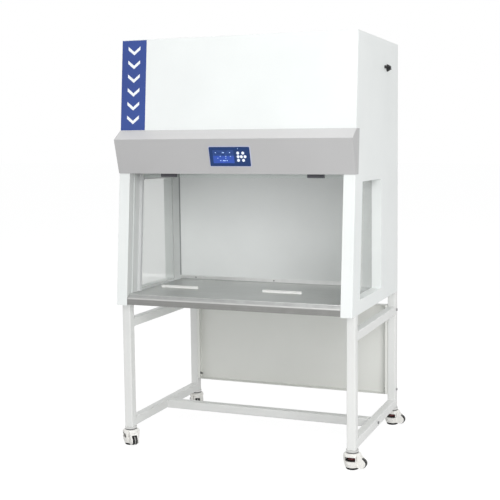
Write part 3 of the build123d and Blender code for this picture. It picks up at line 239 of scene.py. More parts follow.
def joined(parts):
    """Several (points, faces) shapes as one, with the face numbers shifted."""
    points, faces, start = [], [], 0
    for some_points, some_faces in parts:
        points.append(np.asarray(some_points, float))
        faces += [[int(i) + start for i in f] for f in some_faces]
        start += len(some_points)
    return np.concatenate(points), faces


def slab(outline, thick):
    """A flat plate: its outline in the plane w = 0, carried to w = thick, with both ends closed."""
    flat = np.asarray(outline, float)
    count = len(flat)
    low = np.column_stack([flat, np.zeros(count)])
    high = np.column_stack([flat, np.full(count, thick)])
    points = np.concatenate([low, high])
    sides = [[i, (i + 1) % count, (i + 1) % count + count, i + count] for i in range(count)]
    return points, sides + [list(range(count))[::-1], list(range(count, 2 * count))]


def rounded_rectangle(width, height, radius, steps=5):
    """Outline, counter-clockwise: four quarter circles of the radius, centred on the inner corners."""
    turn = np.linspace(0, math.pi / 2, steps)
    corners = [(1, 1, 0), (-1, 1, 1), (-1, -1, 2), (1, -1, 3)]
    arcs = []
    for side_x, side_y, quarter in corners:
        angle = turn + quarter * math.pi / 2
        centre = np.array([side_x * (width / 2 - radius), side_y * (height / 2 - radius)])
        arcs.append(centre + radius * np.column_stack([np.cos(angle), np.sin(angle)]))
    return np.concatenate(arcs)


def ring_plate(outer, inner, thick):
    """A flat frame: two outlines with the same number of points, joined by walls and by both faces."""
    count = len(outer)
    rings = [np.column_stack([outline, np.full(count, level)])
             for outline, level in ((outer, 0.0), (outer, thick), (inner, thick), (inner, 0.0))]
    points = np.concatenate(rings)
    return points, grid_quads(len(rings) + 1, count) % len(points)


class Plane:
    """A flat place on the part: (u, v, w) runs right, up and outward from its centre.

    half holds its half sizes along u and v.
    """

    def __init__(self, centre, right, up, half=(0.0, 0.0)):
        self.centre = np.asarray(centre, float)
        self.right = np.asarray(right, float)
        self.up = np.asarray(up, float)
        self.out = np.cross(self.right, self.up)
        self.half = half

    def put(self, points):
        """Points of the plane's own frame, in the part's frame."""
        points = np.asarray(points, float)
        return self.centre + points @ np.array([self.right, self.up, self.out])


def read_array(items, label, *entry):
    """One property of all faces or vertices of a mesh; entry is the length of a vector property."""
    values = np.empty((len(items), *entry), np.float32)
    items.foreach_get(label, values.reshape(-1))
    return values


def facing(node, direction):
    """The plane of a node with the most area among those that look along a direction.

    Its turn is the largest triangle's. Its level is where the areas of the triangles with that turn
    add up to the most.
    """
    mesh = NODES[node].data
    normals = read_array(mesh.polygons, "normal", 3)
    areas = read_array(mesh.polygons, "area")
    centres = read_array(mesh.polygons, "center", 3)
    towards = normals @ np.asarray(direction, float)
    best = np.argmax(areas * (towards > LOOKS_ALONG))
    out = normals[best] / np.linalg.norm(normals[best])
    along = normals @ out > SAME_TURN
    levels, members = np.unique(np.round(centres[along] @ out, LEVEL_DIGITS), return_inverse=True)
    level = levels[np.argmax(np.bincount(members.ravel(), weights=areas[along]))]
    same = along & (np.abs(centres @ out - level) < LEVEL_SLACK)
    corners = np.array(sorted({v for i in np.flatnonzero(same) for v in mesh.polygons[int(i)].vertices}))
    spots = read_array(mesh.vertices, "co", 3)[corners]
    reference = np.array([0.0, 0.0, 1.0]) if abs(out[2]) < 0.9 else np.array([0.0, 1.0, 0.0])
    right = np.cross(reference, out)
    right /= np.linalg.norm(right)
    up = np.cross(out, right)
    u, v = spots @ right, spots @ up
    centre = (u.min() + u.max()) / 2 * right + (v.min() + v.max()) / 2 * up + level * out
    return Plane(centre, right, up, ((u.max() - u.min()) / 2, (v.max() - v.min()) / 2))


# ================================================================ shader groups

def new_group(name, inputs, outputs):
    """An empty shader group with named sockets, and its two end nodes."""
    tree = bpy.data.node_groups.new(name, "ShaderNodeTree")
    for label, kind, value in inputs:
        socket = tree.interface.new_socket(name=label, in_out="INPUT", socket_type=kind)
        socket.default_value = value
    for label, kind in outputs:
        tree.interface.new_socket(name=label, in_out="OUTPUT", socket_type=kind)
    return tree, tree.nodes.new("NodeGroupInput"), tree.nodes.new("NodeGroupOutput")


def wire(tree, source, target):
    """Joins an output socket to an input socket."""
    tree.links.new(source, target)


def vector_node(tree, operation, first, second=None):
    """One vector node on one or two sockets."""
    node = tree.nodes.new("ShaderNodeVectorMath")
    node.operation = operation
    wire(tree, first, node.inputs[0])
    if second is not None:
        wire(tree, second, node.inputs[1])
    return node


def object_place(tree):
    """The socket with a surface point's place in the part's frame."""
    return tree.nodes.new("ShaderNodeTexCoord").outputs["Object"]


def split_place(tree, place):
    """The X, Y and Z sockets of a place."""
    parts = tree.nodes.new("ShaderNodeSeparateXYZ")
    wire(tree, place, parts.inputs[0])
    return parts.outputs


def noise(tree, coordinates, scale, detail, roughness=0.5):
    """A noise texture on a coordinate socket; its scale is a number or a socket."""
    node = tree.nodes.new("ShaderNodeTexNoise")
    node.inputs["Detail"].default_value = detail
    node.inputs["Roughness"].default_value = roughness
    wire(tree, coordinates, node.inputs["Vector"])
    if isinstance(scale, (int, float)):
        node.inputs["Scale"].default_value = scale
    else:
        wire(tree, scale, node.inputs["Scale"])
    return node.outputs["Fac"]


def ranged(tree, value, span, result=(0.0, 1.0), smooth=False):
    """A value carried from its span to a result's range and held inside it; the ends may be sockets."""
    node = tree.nodes.new("ShaderNodeMapRange")
    node.interpolation_type = "SMOOTHSTEP" if smooth else "LINEAR"
    wire(tree, value, node.inputs["Value"])
    for label, end in zip(("From Min", "From Max", "To Min", "To Max"), (*span, *result)):
        if isinstance(end, (int, float)):
            node.inputs[label].default_value = end
        else:
            wire(tree, end, node.inputs[label])
    return node.outputs["Result"]


def sums(tree, operation, first, second, clamp=False):
    """One arithmetic node on two sockets or numbers."""
    node = tree.nodes.new("ShaderNodeMath")
    node.operation = operation
    node.use_clamp = clamp
    for socket, value in zip(node.inputs, (first, second)):
        if isinstance(value, (int, float)):
            socket.default_value = value
        else:
            wire(tree, value, socket)
    return node.outputs[0]


def blended(tree, factor, first, second):
    """A colour between two, each a socket or a colour."""
    node = tree.nodes.new("ShaderNodeMix")
    node.data_type = "RGBA"
    wire(tree, factor, node.inputs["Factor"])
    for label, value in (("A", first), ("B", second)):
        socket = [s for s in node.inputs if s.name == label and s.type == "RGBA"][0]
        if isinstance(value, (tuple, list)):
            socket.default_value = (*value[:3], 1.0)
        else:
            wire(tree, value, socket)
    return [s for s in node.outputs if s.type == "RGBA"][0]


def bumped(tree, height, strength, distance):
    """A normal pressed by a height socket; its strength is a number or a socket."""
    node = tree.nodes.new("ShaderNodeBump")
    node.inputs["Distance"].default_value = distance
    if isinstance(strength, (int, float)):
        node.inputs["Strength"].default_value = strength
    else:
        wire(tree, strength, node.inputs["Strength"])
    wire(tree, height, node.inputs["Height"])
    return node.outputs["Normal"]


def darker(color, share):
    """A colour times a share."""
    return tuple(share * c for c in color)


def coated_group():
    """Powder coat: slow tone drift between two colours, a fine orange-peel skin and a drift in gloss."""
    tree, entry, leave = new_group("coated_skin", [
        ("Color", "NodeSocketColor", (0.8, 0.8, 0.8, 1.0)),
        ("Shade", "NodeSocketColor", (0.7, 0.7, 0.7, 1.0)),
        ("Peel Scale", "NodeSocketFloat", 700.0),
        ("Peel", "NodeSocketFloat", 0.12),
        ("Gloss Low", "NodeSocketFloat", 0.32),
        ("Gloss High", "NodeSocketFloat", 0.42),
    ], [("Color", "NodeSocketColor"), ("Roughness", "NodeSocketFloat"), ("Normal", "NodeSocketVector")])
    place = object_place(tree)
    drift = ranged(tree, noise(tree, place, scale=3.2, detail=3.0), DRIFT)
    speck = ranged(tree, noise(tree, place, scale=260.0, detail=2.0), (0.45, 0.75), (0.0, 0.35))
    mask = sums(tree, "ADD", sums(tree, "MULTIPLY", drift, 0.7), speck, clamp=True)
    wire(tree, blended(tree, mask, entry.outputs["Color"], entry.outputs["Shade"]), leave.inputs["Color"])
    ends = (entry.outputs["Gloss Low"], entry.outputs["Gloss High"])
    gloss = ranged(tree, noise(tree, place, scale=24.0, detail=3.0), (0.0, 1.0), ends)
    wire(tree, gloss, leave.inputs["Roughness"])
    peel = noise(tree, place, scale=entry.outputs["Peel Scale"], detail=2.0)
    wire(tree, bumped(tree, peel, entry.outputs["Peel"], distance=0.0003), leave.inputs["Normal"])
    return tree


def brushed_group():
    """Brushed sheet: fine lines along one direction, broad cloudy stains and lines in the gloss."""
    tree, entry, leave = new_group("brushed_sheet", [
        ("Color", "NodeSocketColor", (0.6, 0.6, 0.6, 1.0)),
        ("Shade", "NodeSocketColor", (0.5, 0.5, 0.5, 1.0)),
        ("Grain", "NodeSocketVector", (4.0, 420.0, 420.0)),
        ("Lines", "NodeSocketFloat", 0.20),
        ("Gloss Low", "NodeSocketFloat", 0.26),
        ("Gloss High", "NodeSocketFloat", 0.42),
    ], [("Color", "NodeSocketColor"), ("Roughness", "NodeSocketFloat"), ("Normal", "NodeSocketVector")])
    place = object_place(tree)
    stretched = vector_node(tree, "MULTIPLY", place, entry.outputs["Grain"]).outputs[0]
    lines = noise(tree, stretched, scale=1.0, detail=4.0, roughness=0.62)
    cloud = ranged(tree, noise(tree, place, scale=2.6, detail=4.0), (0.36, 0.66), (0.0, 0.55))
    mask = sums(tree, "ADD", ranged(tree, lines, SPREAD, (0.0, 0.45)), cloud, clamp=True)
    wire(tree, blended(tree, mask, entry.outputs["Color"], entry.outputs["Shade"]), leave.inputs["Color"])
    gloss = ranged(tree, lines, SPREAD, (entry.outputs["Gloss Low"], entry.outputs["Gloss High"]))
    wire(tree, gloss, leave.inputs["Roughness"])
    wire(tree, bumped(tree, lines, entry.outputs["Lines"], distance=0.0002), leave.inputs["Normal"])
    return tree


def axle_group():
    """Distance along an axle from its middle, and distance from the axle, of each point of a wheel."""
    tree, entry, leave = new_group("axle_distances", [
        ("Centre", "NodeSocketVector", (0.0, 0.0, 0.0)),
        ("Axle", "NodeSocketVector", (0.0, 1.0, 0.0)),
    ], [("Along", "NodeSocketFloat"), ("Out", "NodeSocketFloat")])
    offset = vector_node(tree, "SUBTRACT", object_place(tree), entry.outputs["Centre"]).outputs[0]
    along = vector_node(tree, "DOT_PRODUCT", offset, entry.outputs["Axle"]).outputs["Value"]
    wire(tree, sums(tree, "ABSOLUTE", along, 0.0), leave.inputs["Along"])
    across = vector_node(tree, "CROSS_PRODUCT", offset, entry.outputs["Axle"]).outputs[0]
    wire(tree, vector_node(tree, "LENGTH", across).outputs["Value"], leave.inputs["Out"])
    return tree


COATED = coated_group()
BRUSHED = brushed_group()
AXLE = axle_group()


# ================================================================ materials

def new_material(name):
    """A material with one Principled shader, and its tree and shader."""
    made = bpy.data.materials.new(name)
    made.use_nodes = True
    tree = made.node_tree
    return made, tree, tree.nodes["Principled BSDF"]


def opened(made):
    """The tree, the shader and the colour socket of a finish, for one that changes it by zones."""
    tree = made.node_tree
    shader = tree.nodes["Principled BSDF"]
    return tree, shader, shader.inputs["Base Color"].links[0].from_socket


def placed_group(tree, group, **values):
    """A group node in a material's tree with its inputs set by name, underscores standing for spaces."""
    node = tree.nodes.new("ShaderNodeGroup")
    node.node_tree = group
    for label, value in values.items():
        socket = node.inputs[label.replace("_", " ")]
        socket.default_value = (*value, 1.0) if socket.type == "RGBA" else value
    return node


def surface(name, group, color, shade, metallic=0.0, coat=0.0, specular=0.5, **values):
    """A finish from one of the two skin groups."""
    made, tree, shader = new_material(name)
    skin = placed_group(tree, group, Color=color, Shade=shade, **values)
    for label in ("Roughness", "Normal"):
        wire(tree, skin.outputs[label], shader.inputs[label])
    wire(tree, skin.outputs["Color"], shader.inputs["Base Color"])
    shader.inputs["Metallic"].default_value = metallic
    shader.inputs["Coat Weight"].default_value = coat
    shader.inputs["Coat Roughness"].default_value = 0.1
    shader.inputs["Specular IOR Level"].default_value = specular
    return made


def coated(name, color, shade, **values):
    """Painted or moulded surface."""
    return surface(name, COATED, color, shade, **values)


def brushed(name, color, shade, **values):
    """Bare sheet metal."""
    return surface(name, BRUSHED, color, shade, metallic=1.0, **values)


def glass_sheet(name, tint, clearness):
    """Float glass, dusty in a slow pattern, that passes lamp light; what isn't clear is a pale haze."""
    made, tree, shader = new_material(name)
    shader.inputs["Base Color"].default_value = (*tint, 1.0)
    shader.inputs["Transmission Weight"].default_value = clearness
    shader.inputs["IOR"].default_value = 1.45
    dust = noise(tree, object_place(tree), scale=7.0, detail=4.0)
    wire(tree, ranged(tree, dust, (0.4, 0.8), (0.0, 0.035)), shader.inputs["Roughness"])
    through = tree.nodes.new("ShaderNodeBsdfTransparent")
    through.inputs["Color"].default_value = (*[clearness * c for c in tint], 1.0)
    path = tree.nodes.new("ShaderNodeLightPath")
    mix = tree.nodes.new("ShaderNodeMixShader")
    wire(tree, path.outputs["Is Shadow Ray"], mix.inputs[0])
    wire(tree, shader.outputs[0], mix.inputs[1])
    wire(tree, through.outputs[0], mix.inputs[2])
    wire(tree, mix.outputs[0], tree.nodes["Material Output"].inputs["Surface"])
    return made


def table_sheet(name, top):
    """Brushed sheet of the table, by height: an upstand paler with painted light, the top, a nose darker with
    painted shade and a painted highlight along its bend, an apron darker with painted shade.
    """
    made = brushed(name, STEEL, STEEL_SHADE, Gloss_Low=0.30, Gloss_High=0.48)
    tree, shader, toned = opened(made)
    place = object_place(tree)
    depth = sums(tree, "SUBTRACT", top, split_place(tree, place)["Z"])
    streak = ranged(tree, noise(tree, place, scale=22.0, detail=3.0), SPREAD, (0.75, 1.0))
    off_bend = sums(tree, "ABSOLUTE", sums(tree, "SUBTRACT", depth, NOSE_DROP - BEND_RISE), 0.0)
    nose = ranged(tree, depth, NOSE_TOP)
    gloss = shader.inputs["Roughness"].links[0].from_socket
    duller = sums(tree, "ADD", gloss, sums(tree, "MULTIPLY", nose, NOSE_DULLNESS))
    wire(tree, duller, shader.inputs["Roughness"])
    # Painted light by height on one sheet: the upstand paler, the nose and apron darker as painted shade, the
    # bend brighter as a painted highlight.
    zones = (
        (ranged(tree, depth, UPSTAND_FOOT, FADE), UPSTAND_PAINTED_LIGHT),
        (nose, NOSE_PAINTED_SHADE),
        (ranged(tree, depth, (NOSE_DROP, NOSE_DROP + APRON_BLEND)), APRON_PAINTED_SHADE),
        (ranged(tree, off_bend, BEND_EDGE, FADE), BEND_PAINTED_HIGHLIGHT),
    )
    for mask, tone in zones:
        toned = blended(tree, sums(tree, "MULTIPLY", mask, streak), toned, tone)
    wire(tree, toned, shader.inputs["Base Color"])
    return made


def wall_paint(name, inner):
    """Powder coat of a side wall, greyed by painted shade on the skin that stands at the inner distance from
    the middle, the one facing into the chamber.
    """
    made = coated(name, WHITE, WHITE_SHADE)
    tree, shader, skin = opened(made)
    place = object_place(tree)
    out = sums(tree, "ABSOLUTE", split_place(tree, place)["X"], 0.0)
    # Painted shade: the wall's skin facing into the chamber is greyed where the hood shades it.
    inside = ranged(tree, out, [inner + edge for edge in INNER_SKIN_EDGE], FADE)
    streak = ranged(tree, noise(tree, place, scale=9.0, detail=2.0), SPREAD, (0.9, 1.0))
    toned = blended(tree, sums(tree, "MULTIPLY", inside, streak), skin, CHAMBER_SIDE_PAINTED_SHADE)
    wire(tree, toned, shader.inputs["Base Color"])
    return made


def lit_screen(face):
    """Lit display: a dark upper field, a brighter lower field and a slow cloud over both."""
    made, tree, shader = new_material("lit_screen")
    place = object_place(tree)
    half = face.half[1] * face.up[2]
    ends = (face.centre[2] - half, face.centre[2] + half)
    height = ranged(tree, split_place(tree, place)["Z"], ends)
    lower = ranged(tree, height, SCREEN_SPLIT, FADE, smooth=True)
    fields = blended(tree, lower, SCREEN_UPPER, SCREEN_LOWER)
    cloud = ranged(tree, noise(tree, place, scale=60.0, detail=2.0), DRIFT, (0.0, 0.5))
    toned = blended(tree, cloud, fields, SCREEN_CLOUD)
    wire(tree, toned, shader.inputs["Base Color"])
    wire(tree, toned, shader.inputs["Emission Color"])
    shader.inputs["Emission Strength"].default_value = 0.35
    shader.inputs["Specular IOR Level"].default_value = 0.25
    smears = noise(tree, place, scale=300.0, detail=1.0)
    wire(tree, ranged(tree, smears, SPREAD, (0.10, 0.16)), shader.inputs["Roughness"])
    return made


def glowing(name, color, strength):
    """A lit mark or lens: mottled colour that also shines by itself."""
    made, tree, shader = new_material(name)
    place = object_place(tree)
    mottle = ranged(tree, noise(tree, place, scale=90.0, detail=2.0), SPREAD)
    toned = blended(tree, mottle, color, darker(color, 0.9))
    wire(tree, toned, shader.inputs["Base Color"])
    wire(tree, toned, shader.inputs["Emission Color"])
    shader.inputs["Emission Strength"].default_value = strength
    smears = noise(tree, place, scale=200.0, detail=2.0)
    wire(tree, ranged(tree, smears, SPREAD, (0.22, 0.34)), shader.inputs["Roughness"])
    return made


def filter_paper():
    """Pleated fibre: off-white, fuzzy, with fibres in its bump."""
    made, tree, shader = new_material("filter_paper")
    place = object_place(tree)
    fibre = noise(tree, place, scale=900.0, detail=5.0, roughness=0.7)
    drift = ranged(tree, noise(tree, place, scale=14.0, detail=4.0), DRIFT)
    wire(tree, blended(tree, drift, PAPER, PAPER_SHADE), shader.inputs["Base Color"])
    wire(tree, ranged(tree, fibre, SPREAD, (0.82, 0.96)), shader.inputs["Roughness"])
    wire(tree, bumped(tree, fibre, 0.5, distance=0.0005), shader.inputs["Normal"])
    return made


def caster_wheel(name, axle):
    """Wheel: two black treads with a grey band midway between them, a painted highlight, and a pale hub near
    the axle.
    """
    made, tree, shader = new_material(name)
    zones = placed_group(tree, AXLE, Centre=tuple(axle["pos_m"]), Axle=tuple(axle["axis"]))
    shader.inputs["Specular IOR Level"].default_value = 0.12
    skin = placed_group(tree, COATED, Color=BLACK, Shade=BLACK_SHADE, Peel_Scale=500.0, Peel=0.25,
                        Gloss_Low=0.38, Gloss_High=0.55)
    hub = ranged(tree, zones.outputs["Out"], HUB_EDGE, FADE)
    # Painted highlight: a grey band down the middle of the black tyre.
    middle_highlight = ranged(tree, zones.outputs["Along"], MIDDLE_BAND_EDGE, FADE)
    treaded = blended(tree, middle_highlight, skin.outputs["Color"], WHEEL_PAINTED_HIGHLIGHT)
    wire(tree, blended(tree, hub, treaded, IVORY_SHADE), shader.inputs["Base Color"])
    wire(tree, skin.outputs["Roughness"], shader.inputs["Roughness"])
    wire(tree, skin.outputs["Normal"], shader.inputs["Normal"])
    return made


def caster_housing(name, swivel):
    """Painted casting, black inside its window, where it is near the swivel's axis: partly the dark steel
    frame there, partly painted shade.
    """
    made = coated(name, IVORY, IVORY_SHADE, Peel_Scale=350.0, Peel=0.30, Gloss_Low=0.34, Gloss_High=0.46)
    tree, shader, skin = opened(made)
    zones = placed_group(tree, AXLE, Centre=tuple(swivel["pos_m"]), Axle=(0.0, 0.0, 1.0))
    # Black inside the window: partly the dark frame, partly painted shade.
    near = ranged(tree, zones.outputs["Out"], POCKET_WALL, FADE)
    under = ranged(tree, split_place(tree, object_place(tree))["Z"], POCKET_ROOF, FADE)
    pocket_frame_and_shade = sums(tree, "MULTIPLY", near, under)
    wire(tree, blended(tree, pocket_frame_and_shade, skin, BLACK_SHADE), shader.inputs["Base Color"])
    return made


def caster_race(name):
    """Plated race and stem, pale above and darker under the rim with painted shade."""
    made = brushed(name, PLATED, PLATED_SHADE, Grain=(120.0, 120.0, 500.0))
    tree, shader, skin = opened(made)
    # Painted shade: darker below the rim.
    low = ranged(tree, split_place(tree, object_place(tree))["Z"], RACE_RIM, FADE)
    wire(tree, blended(tree, low, skin, RACE_RIM_PAINTED_SHADE), shader.inputs["Base Color"])
    return made


def screwed_foot(name):
    """Levelling foot: black sole, and a bare steel neck above it, told apart by height."""
    made = coated(name, BLACK, BLACK_SHADE, specular=0.12, Peel_Scale=260.0, Peel=0.5,
                  Gloss_Low=0.6, Gloss_High=0.8)
    tree, shader, skin = opened(made)
    neck = ranged(tree, split_place(tree, object_place(tree))["Z"], SOLE_TOP)
    wire(tree, blended(tree, neck, skin, FOOT_NECK), shader.inputs["Base Color"])
    wire(tree, neck, shader.inputs["Metallic"])
    return made


# ================================================================ camera, light, floor

def add_camera():
    """Camera with the view's own centre set by its shift."""
    data = bpy.data.cameras.new("camera")
    data.sensor_width = SENSOR
    data.lens = SENSOR * FOCAL_PIXELS / IMAGE
    data.shift_x = (IMAGE / 2 - VIEW_CENTRE[0]) / IMAGE
    data.shift_y = (VIEW_CENTRE[1] - IMAGE / 2) / IMAGE
    camera = bpy.data.objects.new("camera", data)
    camera.location = CAMERA_PLACE
    camera.rotation_euler = [math.radians(a) for a in (90 + CAMERA_PITCH, CAMERA_ROLL, CAMERA_TURN)]
    bpy.context.scene.collection.objects.link(camera)
    bpy.context.scene.camera = camera


def seen_directly(tree):
    """1 for rays from the camera, a reflection or glass, which should meet the plain background."""
    path = tree.nodes.new("ShaderNodeLightPath")
    seen = sums(tree, "MAXIMUM", path.outputs["Is Camera Ray"], path.outputs["Is Glossy Ray"])
    return sums(tree, "MAXIMUM", seen, path.outputs["Is Transmission Ray"])


def add_world():
    """Even pale sky that lights the part, and plain white where it is looked at."""
    world = bpy.data.worlds.new("studio")
    bpy.context.scene.world = world
    world.use_nodes = True
    tree = world.node_tree
    sky = tree.nodes["Background"]
    sky.inputs["Color"].default_value = (*SKY_COLOR, 1.0)
    sky.inputs["Strength"].default_value = SKY
    plain = tree.nodes.new("ShaderNodeBackground")
    plain.inputs["Color"].default_value = (1.0, 1.0, 1.0, 1.0)
    mix = tree.nodes.new("ShaderNodeMixShader")
    wire(tree, seen_directly(tree), mix.inputs[0])
    wire(tree, sky.outputs[0], mix.inputs[1])
    wire(tree, plain.outputs[0], mix.inputs[2])
    wire(tree, mix.outputs[0], tree.nodes["World Output"].inputs["Surface"])


def add_lamp(name, turn, height, brightness):
    """Square soft lamp that faces the cabinet: a white sheet turned to it would shine at its brightness."""
    turn, height = math.radians(turn), math.radians(height)
    away = np.array([math.cos(height) * math.sin(turn), -math.cos(height) * math.cos(turn), math.sin(height)])
    data = bpy.data.lights.new(name, "AREA")
    data.size = LAMP_SIZE
    data.energy = brightness * (math.pi * LAMP_DISTANCE) ** 2
    lamp = bpy.data.objects.new(name, data)
    lamp.location = LAMP_AIM + LAMP_DISTANCE * away
    lamp.rotation_euler = (math.pi / 2 - height, 0.0, turn)
    bpy.context.scene.collection.objects.link(lamp)


def add_floor():
    """Plain floor: white where it is looked at, but it keeps a part of the shadow."""
    made, tree, shader = new_material("studio_floor")
    shader.inputs["Base Color"].default_value = (FLOOR_TONE, FLOOR_TONE, FLOOR_TONE, 1.0)
    shader.inputs["Roughness"].default_value = 0.9
    shader.inputs["Specular IOR Level"].default_value = 0.0
    white = tree.nodes.new("ShaderNodeEmission")
    white.inputs["Strength"].default_value = FLOOR_WHITE
    mix = tree.nodes.new("ShaderNodeMixShader")
    wire(tree, sums(tree, "MULTIPLY", seen_directly(tree), FLOOR_GLOW), mix.inputs[0])
    wire(tree, shader.outputs[0], mix.inputs[1])
    wire(tree, white.outputs[0], mix.inputs[2])
    wire(tree, mix.outputs[0], tree.nodes["Material Output"].inputs["Surface"])
    corners = [(FLOOR_REACH * x, FLOOR_REACH * y, 0) for x, y in ((-1, -1), (1, -1), (1, 1), (-1, 1))]
    mesh = bpy.data.meshes.new("floor")
    mesh.from_pydata(corners, [], [(0, 1, 2, 3)])
    mesh.materials.append(made)
    floor = bpy.data.objects.new("floor", mesh)
    bpy.context.scene.collection.objects.link(floor)


add_camera()
add_world()
add_lamp("front_lamp", *FRONT_LAMP)
add_lamp("top_lamp", *TOP_LAMP)
add_floor()
bpy.context.scene.view_settings.view_transform = "Standard"


# ================================================================ finishes of the CAD nodes

def dress(finish, *names):
    """Puts one finish on CAD nodes."""
    for name in names:
        mesh = NODES[name].data
        if not mesh.materials:
            mesh.materials.append(finish)
        for index in range(len(mesh.materials)):
            mesh.materials[index] = finish


def both(stem):
    """Names of a left and a right node."""
    return f"{stem}_left", f"{stem}_right"


CORNERS = {"fl": "front_left", "fr": "front_right", "rl": "rear_left", "rr": "rear_right"}
JOINTS = {joint["name"]: joint for joint in frame["joints"]}
TABLE_TOP = facing("work_table", (0, 0, 1)).centre[2]
SCREEN_FACE = facing("display_screen", (0, -1, 0))
BEZEL_FACE = facing("display_bezel", (0, -1, 0))
PANEL_FACE = facing("front_panel", (0, -1, 0))

white = coated("cabinet_white", WHITE, WHITE_SHADE)
wall_white = wall_paint("wall_white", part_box("side_wall_right")[0].x)
chamber_white = coated("chamber_white", CHAMBER, CHAMBER_SHADE, Gloss_Low=0.36, Gloss_High=0.48)
stand_white = coated("stand_white", STAND, STAND_SHADE)
pan_grey = coated("pan_grey", PAN_GREY, PAN_SHADE, Gloss_Low=0.40, Gloss_High=0.52)
canopy_grey = coated("canopy_grey", CANOPY, CANOPY_SHADE, Gloss_Low=0.40, Gloss_High=0.50)
steel = table_sheet("table_steel", TABLE_TOP)
zinc = brushed("bolt_zinc", ZINC, ZINC_SHADE, Grain=(300.0, 300.0, 300.0))
rail_alloy = brushed("rail_alloy", ALLOY, ALLOY_SHADE, Grain=(420.0, 420.0, 6.0))
rail_grey = coated("rail_grey", RAIL_GREY, darker(RAIL_GREY, 0.92), Gloss_Low=0.36, Gloss_High=0.5)
duct_sheet = brushed("duct_sheet", DUCT, DUCT_SHADE, Grain=(16.0, 16.0, 16.0), Lines=0.10)
# Side windows: the grey tint and lower clearness darken them as painted shade.
side_glass = glass_sheet("side_glass", SIDE_TINT_AND_SHADE, clearness=0.80)
clear_glass = glass_sheet("clear_glass", CLEAR_TINT, clearness=1.0)
bezel_blue = coated("bezel_blue", BEZEL_BLUE, BEZEL_BLUE_SHADE, specular=0.25, Peel=0.03,
                    Gloss_Low=0.2, Gloss_High=0.3)
board_green = coated("board_green", BOARD_GREEN, BOARD_SHADE, Gloss_Low=0.3, Gloss_High=0.5)
key_white = glowing("key_white", KEY_LIT, strength=0.25)
grip_dark = coated("grip_dark", GRIP, GRIP_SHADE, Peel_Scale=420.0, Peel=0.35)
slider_nylon = coated("slider_nylon", NYLON, NYLON_SHADE)
bar_white = coated("bar_white", BAR_WHITE, BAR_SHADE, coat=0.3)
lamp_opal = glowing("lamp_opal", LAMP_LIT, strength=0.15)
motor_black = coated("motor_black", MOTOR, MOTOR_SHADE)
inlet_black = coated("inlet_black", INLET, INLET_SHADE, specular=0.3, Peel_Scale=300.0, Peel=0.3)
stem_steel = caster_race("stem_steel")
thumb_red = coated("thumb_red", THUMB_RED, THUMB_SHADE, Gloss_Low=0.3, Gloss_High=0.42)
foot_black = screwed_foot("foot_black")

dress(wall_white, *both("side_wall"))
dress(white, "front_panel", "rear_panel", "roof_panel", "base_pan")
dress(chamber_white, "back_wall")
dress(rail_grey, *both("sash_track"))
dress(stand_white, *both("stand_frame"), "stand_stretcher")
dress(pan_grey, "rear_lower_panel")
dress(canopy_grey, "control_canopy")
dress(steel, "work_table")
dress(zinc, "stand_bolts")
dress(rail_alloy, "diffuser_tray")
dress(duct_sheet, "plenum_box", "blower_housing", "blower_impeller")
dress(side_glass, *both("side_glass"))
dress(clear_glass, "sash_glass")
dress(bezel_blue, "display_bezel")
dress(lit_screen(SCREEN_FACE), "display_screen")
dress(board_green, "control_board")
dress(key_white, *[n for n in NODES if n.startswith("key_")])
dress(grip_dark, *both("sash_grip"))
dress(slider_nylon, "sash_sliders")
dress(bar_white, *both("tray_pull"))
dress(filter_paper(), "hepa_filter", "intake_filter")
dress(lamp_opal, "work_lamp")
dress(motor_black, "blower_motor")
dress(inlet_black, "power_inlet")
dress(stem_steel, "caster_stems")
for corner, place in CORNERS.items():
    dress(caster_housing(f"caster_housing_{corner}", JOINTS[f"swivel_{place}"]), f"caster_housing_{corner}")
    dress(caster_wheel(f"caster_wheel_{corner}", JOINTS[f"roll_{place}"]), f"caster_wheel_{corner}")
    dress(thumb_red, f"caster_thumb_wheel_{corner}")
    dress(foot_black, f"caster_foot_{corner}")


# ================================================================ label on the front panel

def add_label():
    """Blue strip at the panel's left edge with a column of plain flow marks."""
    blue = coated("label_blue", LABEL_BLUE, LABEL_BLUE_SHADE, Peel=0.02, Gloss_Low=0.22, Gloss_High=0.30)
    mark = coated("label_mark", MARK_WHITE, darker(MARK_WHITE, 0.96), Peel=0.02)
    canopy_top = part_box("control_canopy")[1].z
    panel_foot = PANEL_FACE.centre[2] - PANEL_FACE.half[1] * PANEL_FACE.up[2]
    bottom = -PANEL_FACE.half[1] + (canopy_top - panel_foot) / PANEL_FACE.up[2] + LABEL_MARGIN
    top = PANEL_FACE.half[1] - LABEL_MARGIN
    left = -PANEL_FACE.half[0] + LABEL_MARGIN
    centre = np.array([left + LABEL_WIDTH / 2, (bottom + top) / 2, 0.0])
    points, faces = slab(rounded_rectangle(LABEL_WIDTH, top - bottom, LABEL_CORNER), LABEL_THICK)
    piece("flow_label", PANEL_FACE.put(points + centre), faces, "cabinet", blue)
    pitch = (top - bottom) * CHEVRONS_REACH / CHEVRONS
    points, faces = slab(chevron(CHEVRON_WIDTH, CHEVRON_DROP, CHEVRON_STROKE), LABEL_THICK / 2)
    rises = [((CHEVRONS - 1) / 2 - i) * pitch for i in range(CHEVRONS)]
    shifts = [centre + np.array([0.0, rise, LABEL_THICK]) for rise in rises]
    points, faces = joined([(points + shift, faces) for shift in shifts])
    piece("flow_marks", PANEL_FACE.put(points), faces, "cabinet", mark)


def chevron(width, drop, stroke):
    """Outline of a downward chevron: two arms of one stroke that meet below the middle."""
    half = width / 2
    return [(-half, drop / 2 + stroke / 2), (-half, drop / 2 - stroke / 2), (0.0, -drop / 2 - stroke / 2),
            (half, drop / 2 - stroke / 2), (half, drop / 2 + stroke / 2), (0.0, -drop / 2 + stroke / 2)]


add_label()


# ================================================================ display details

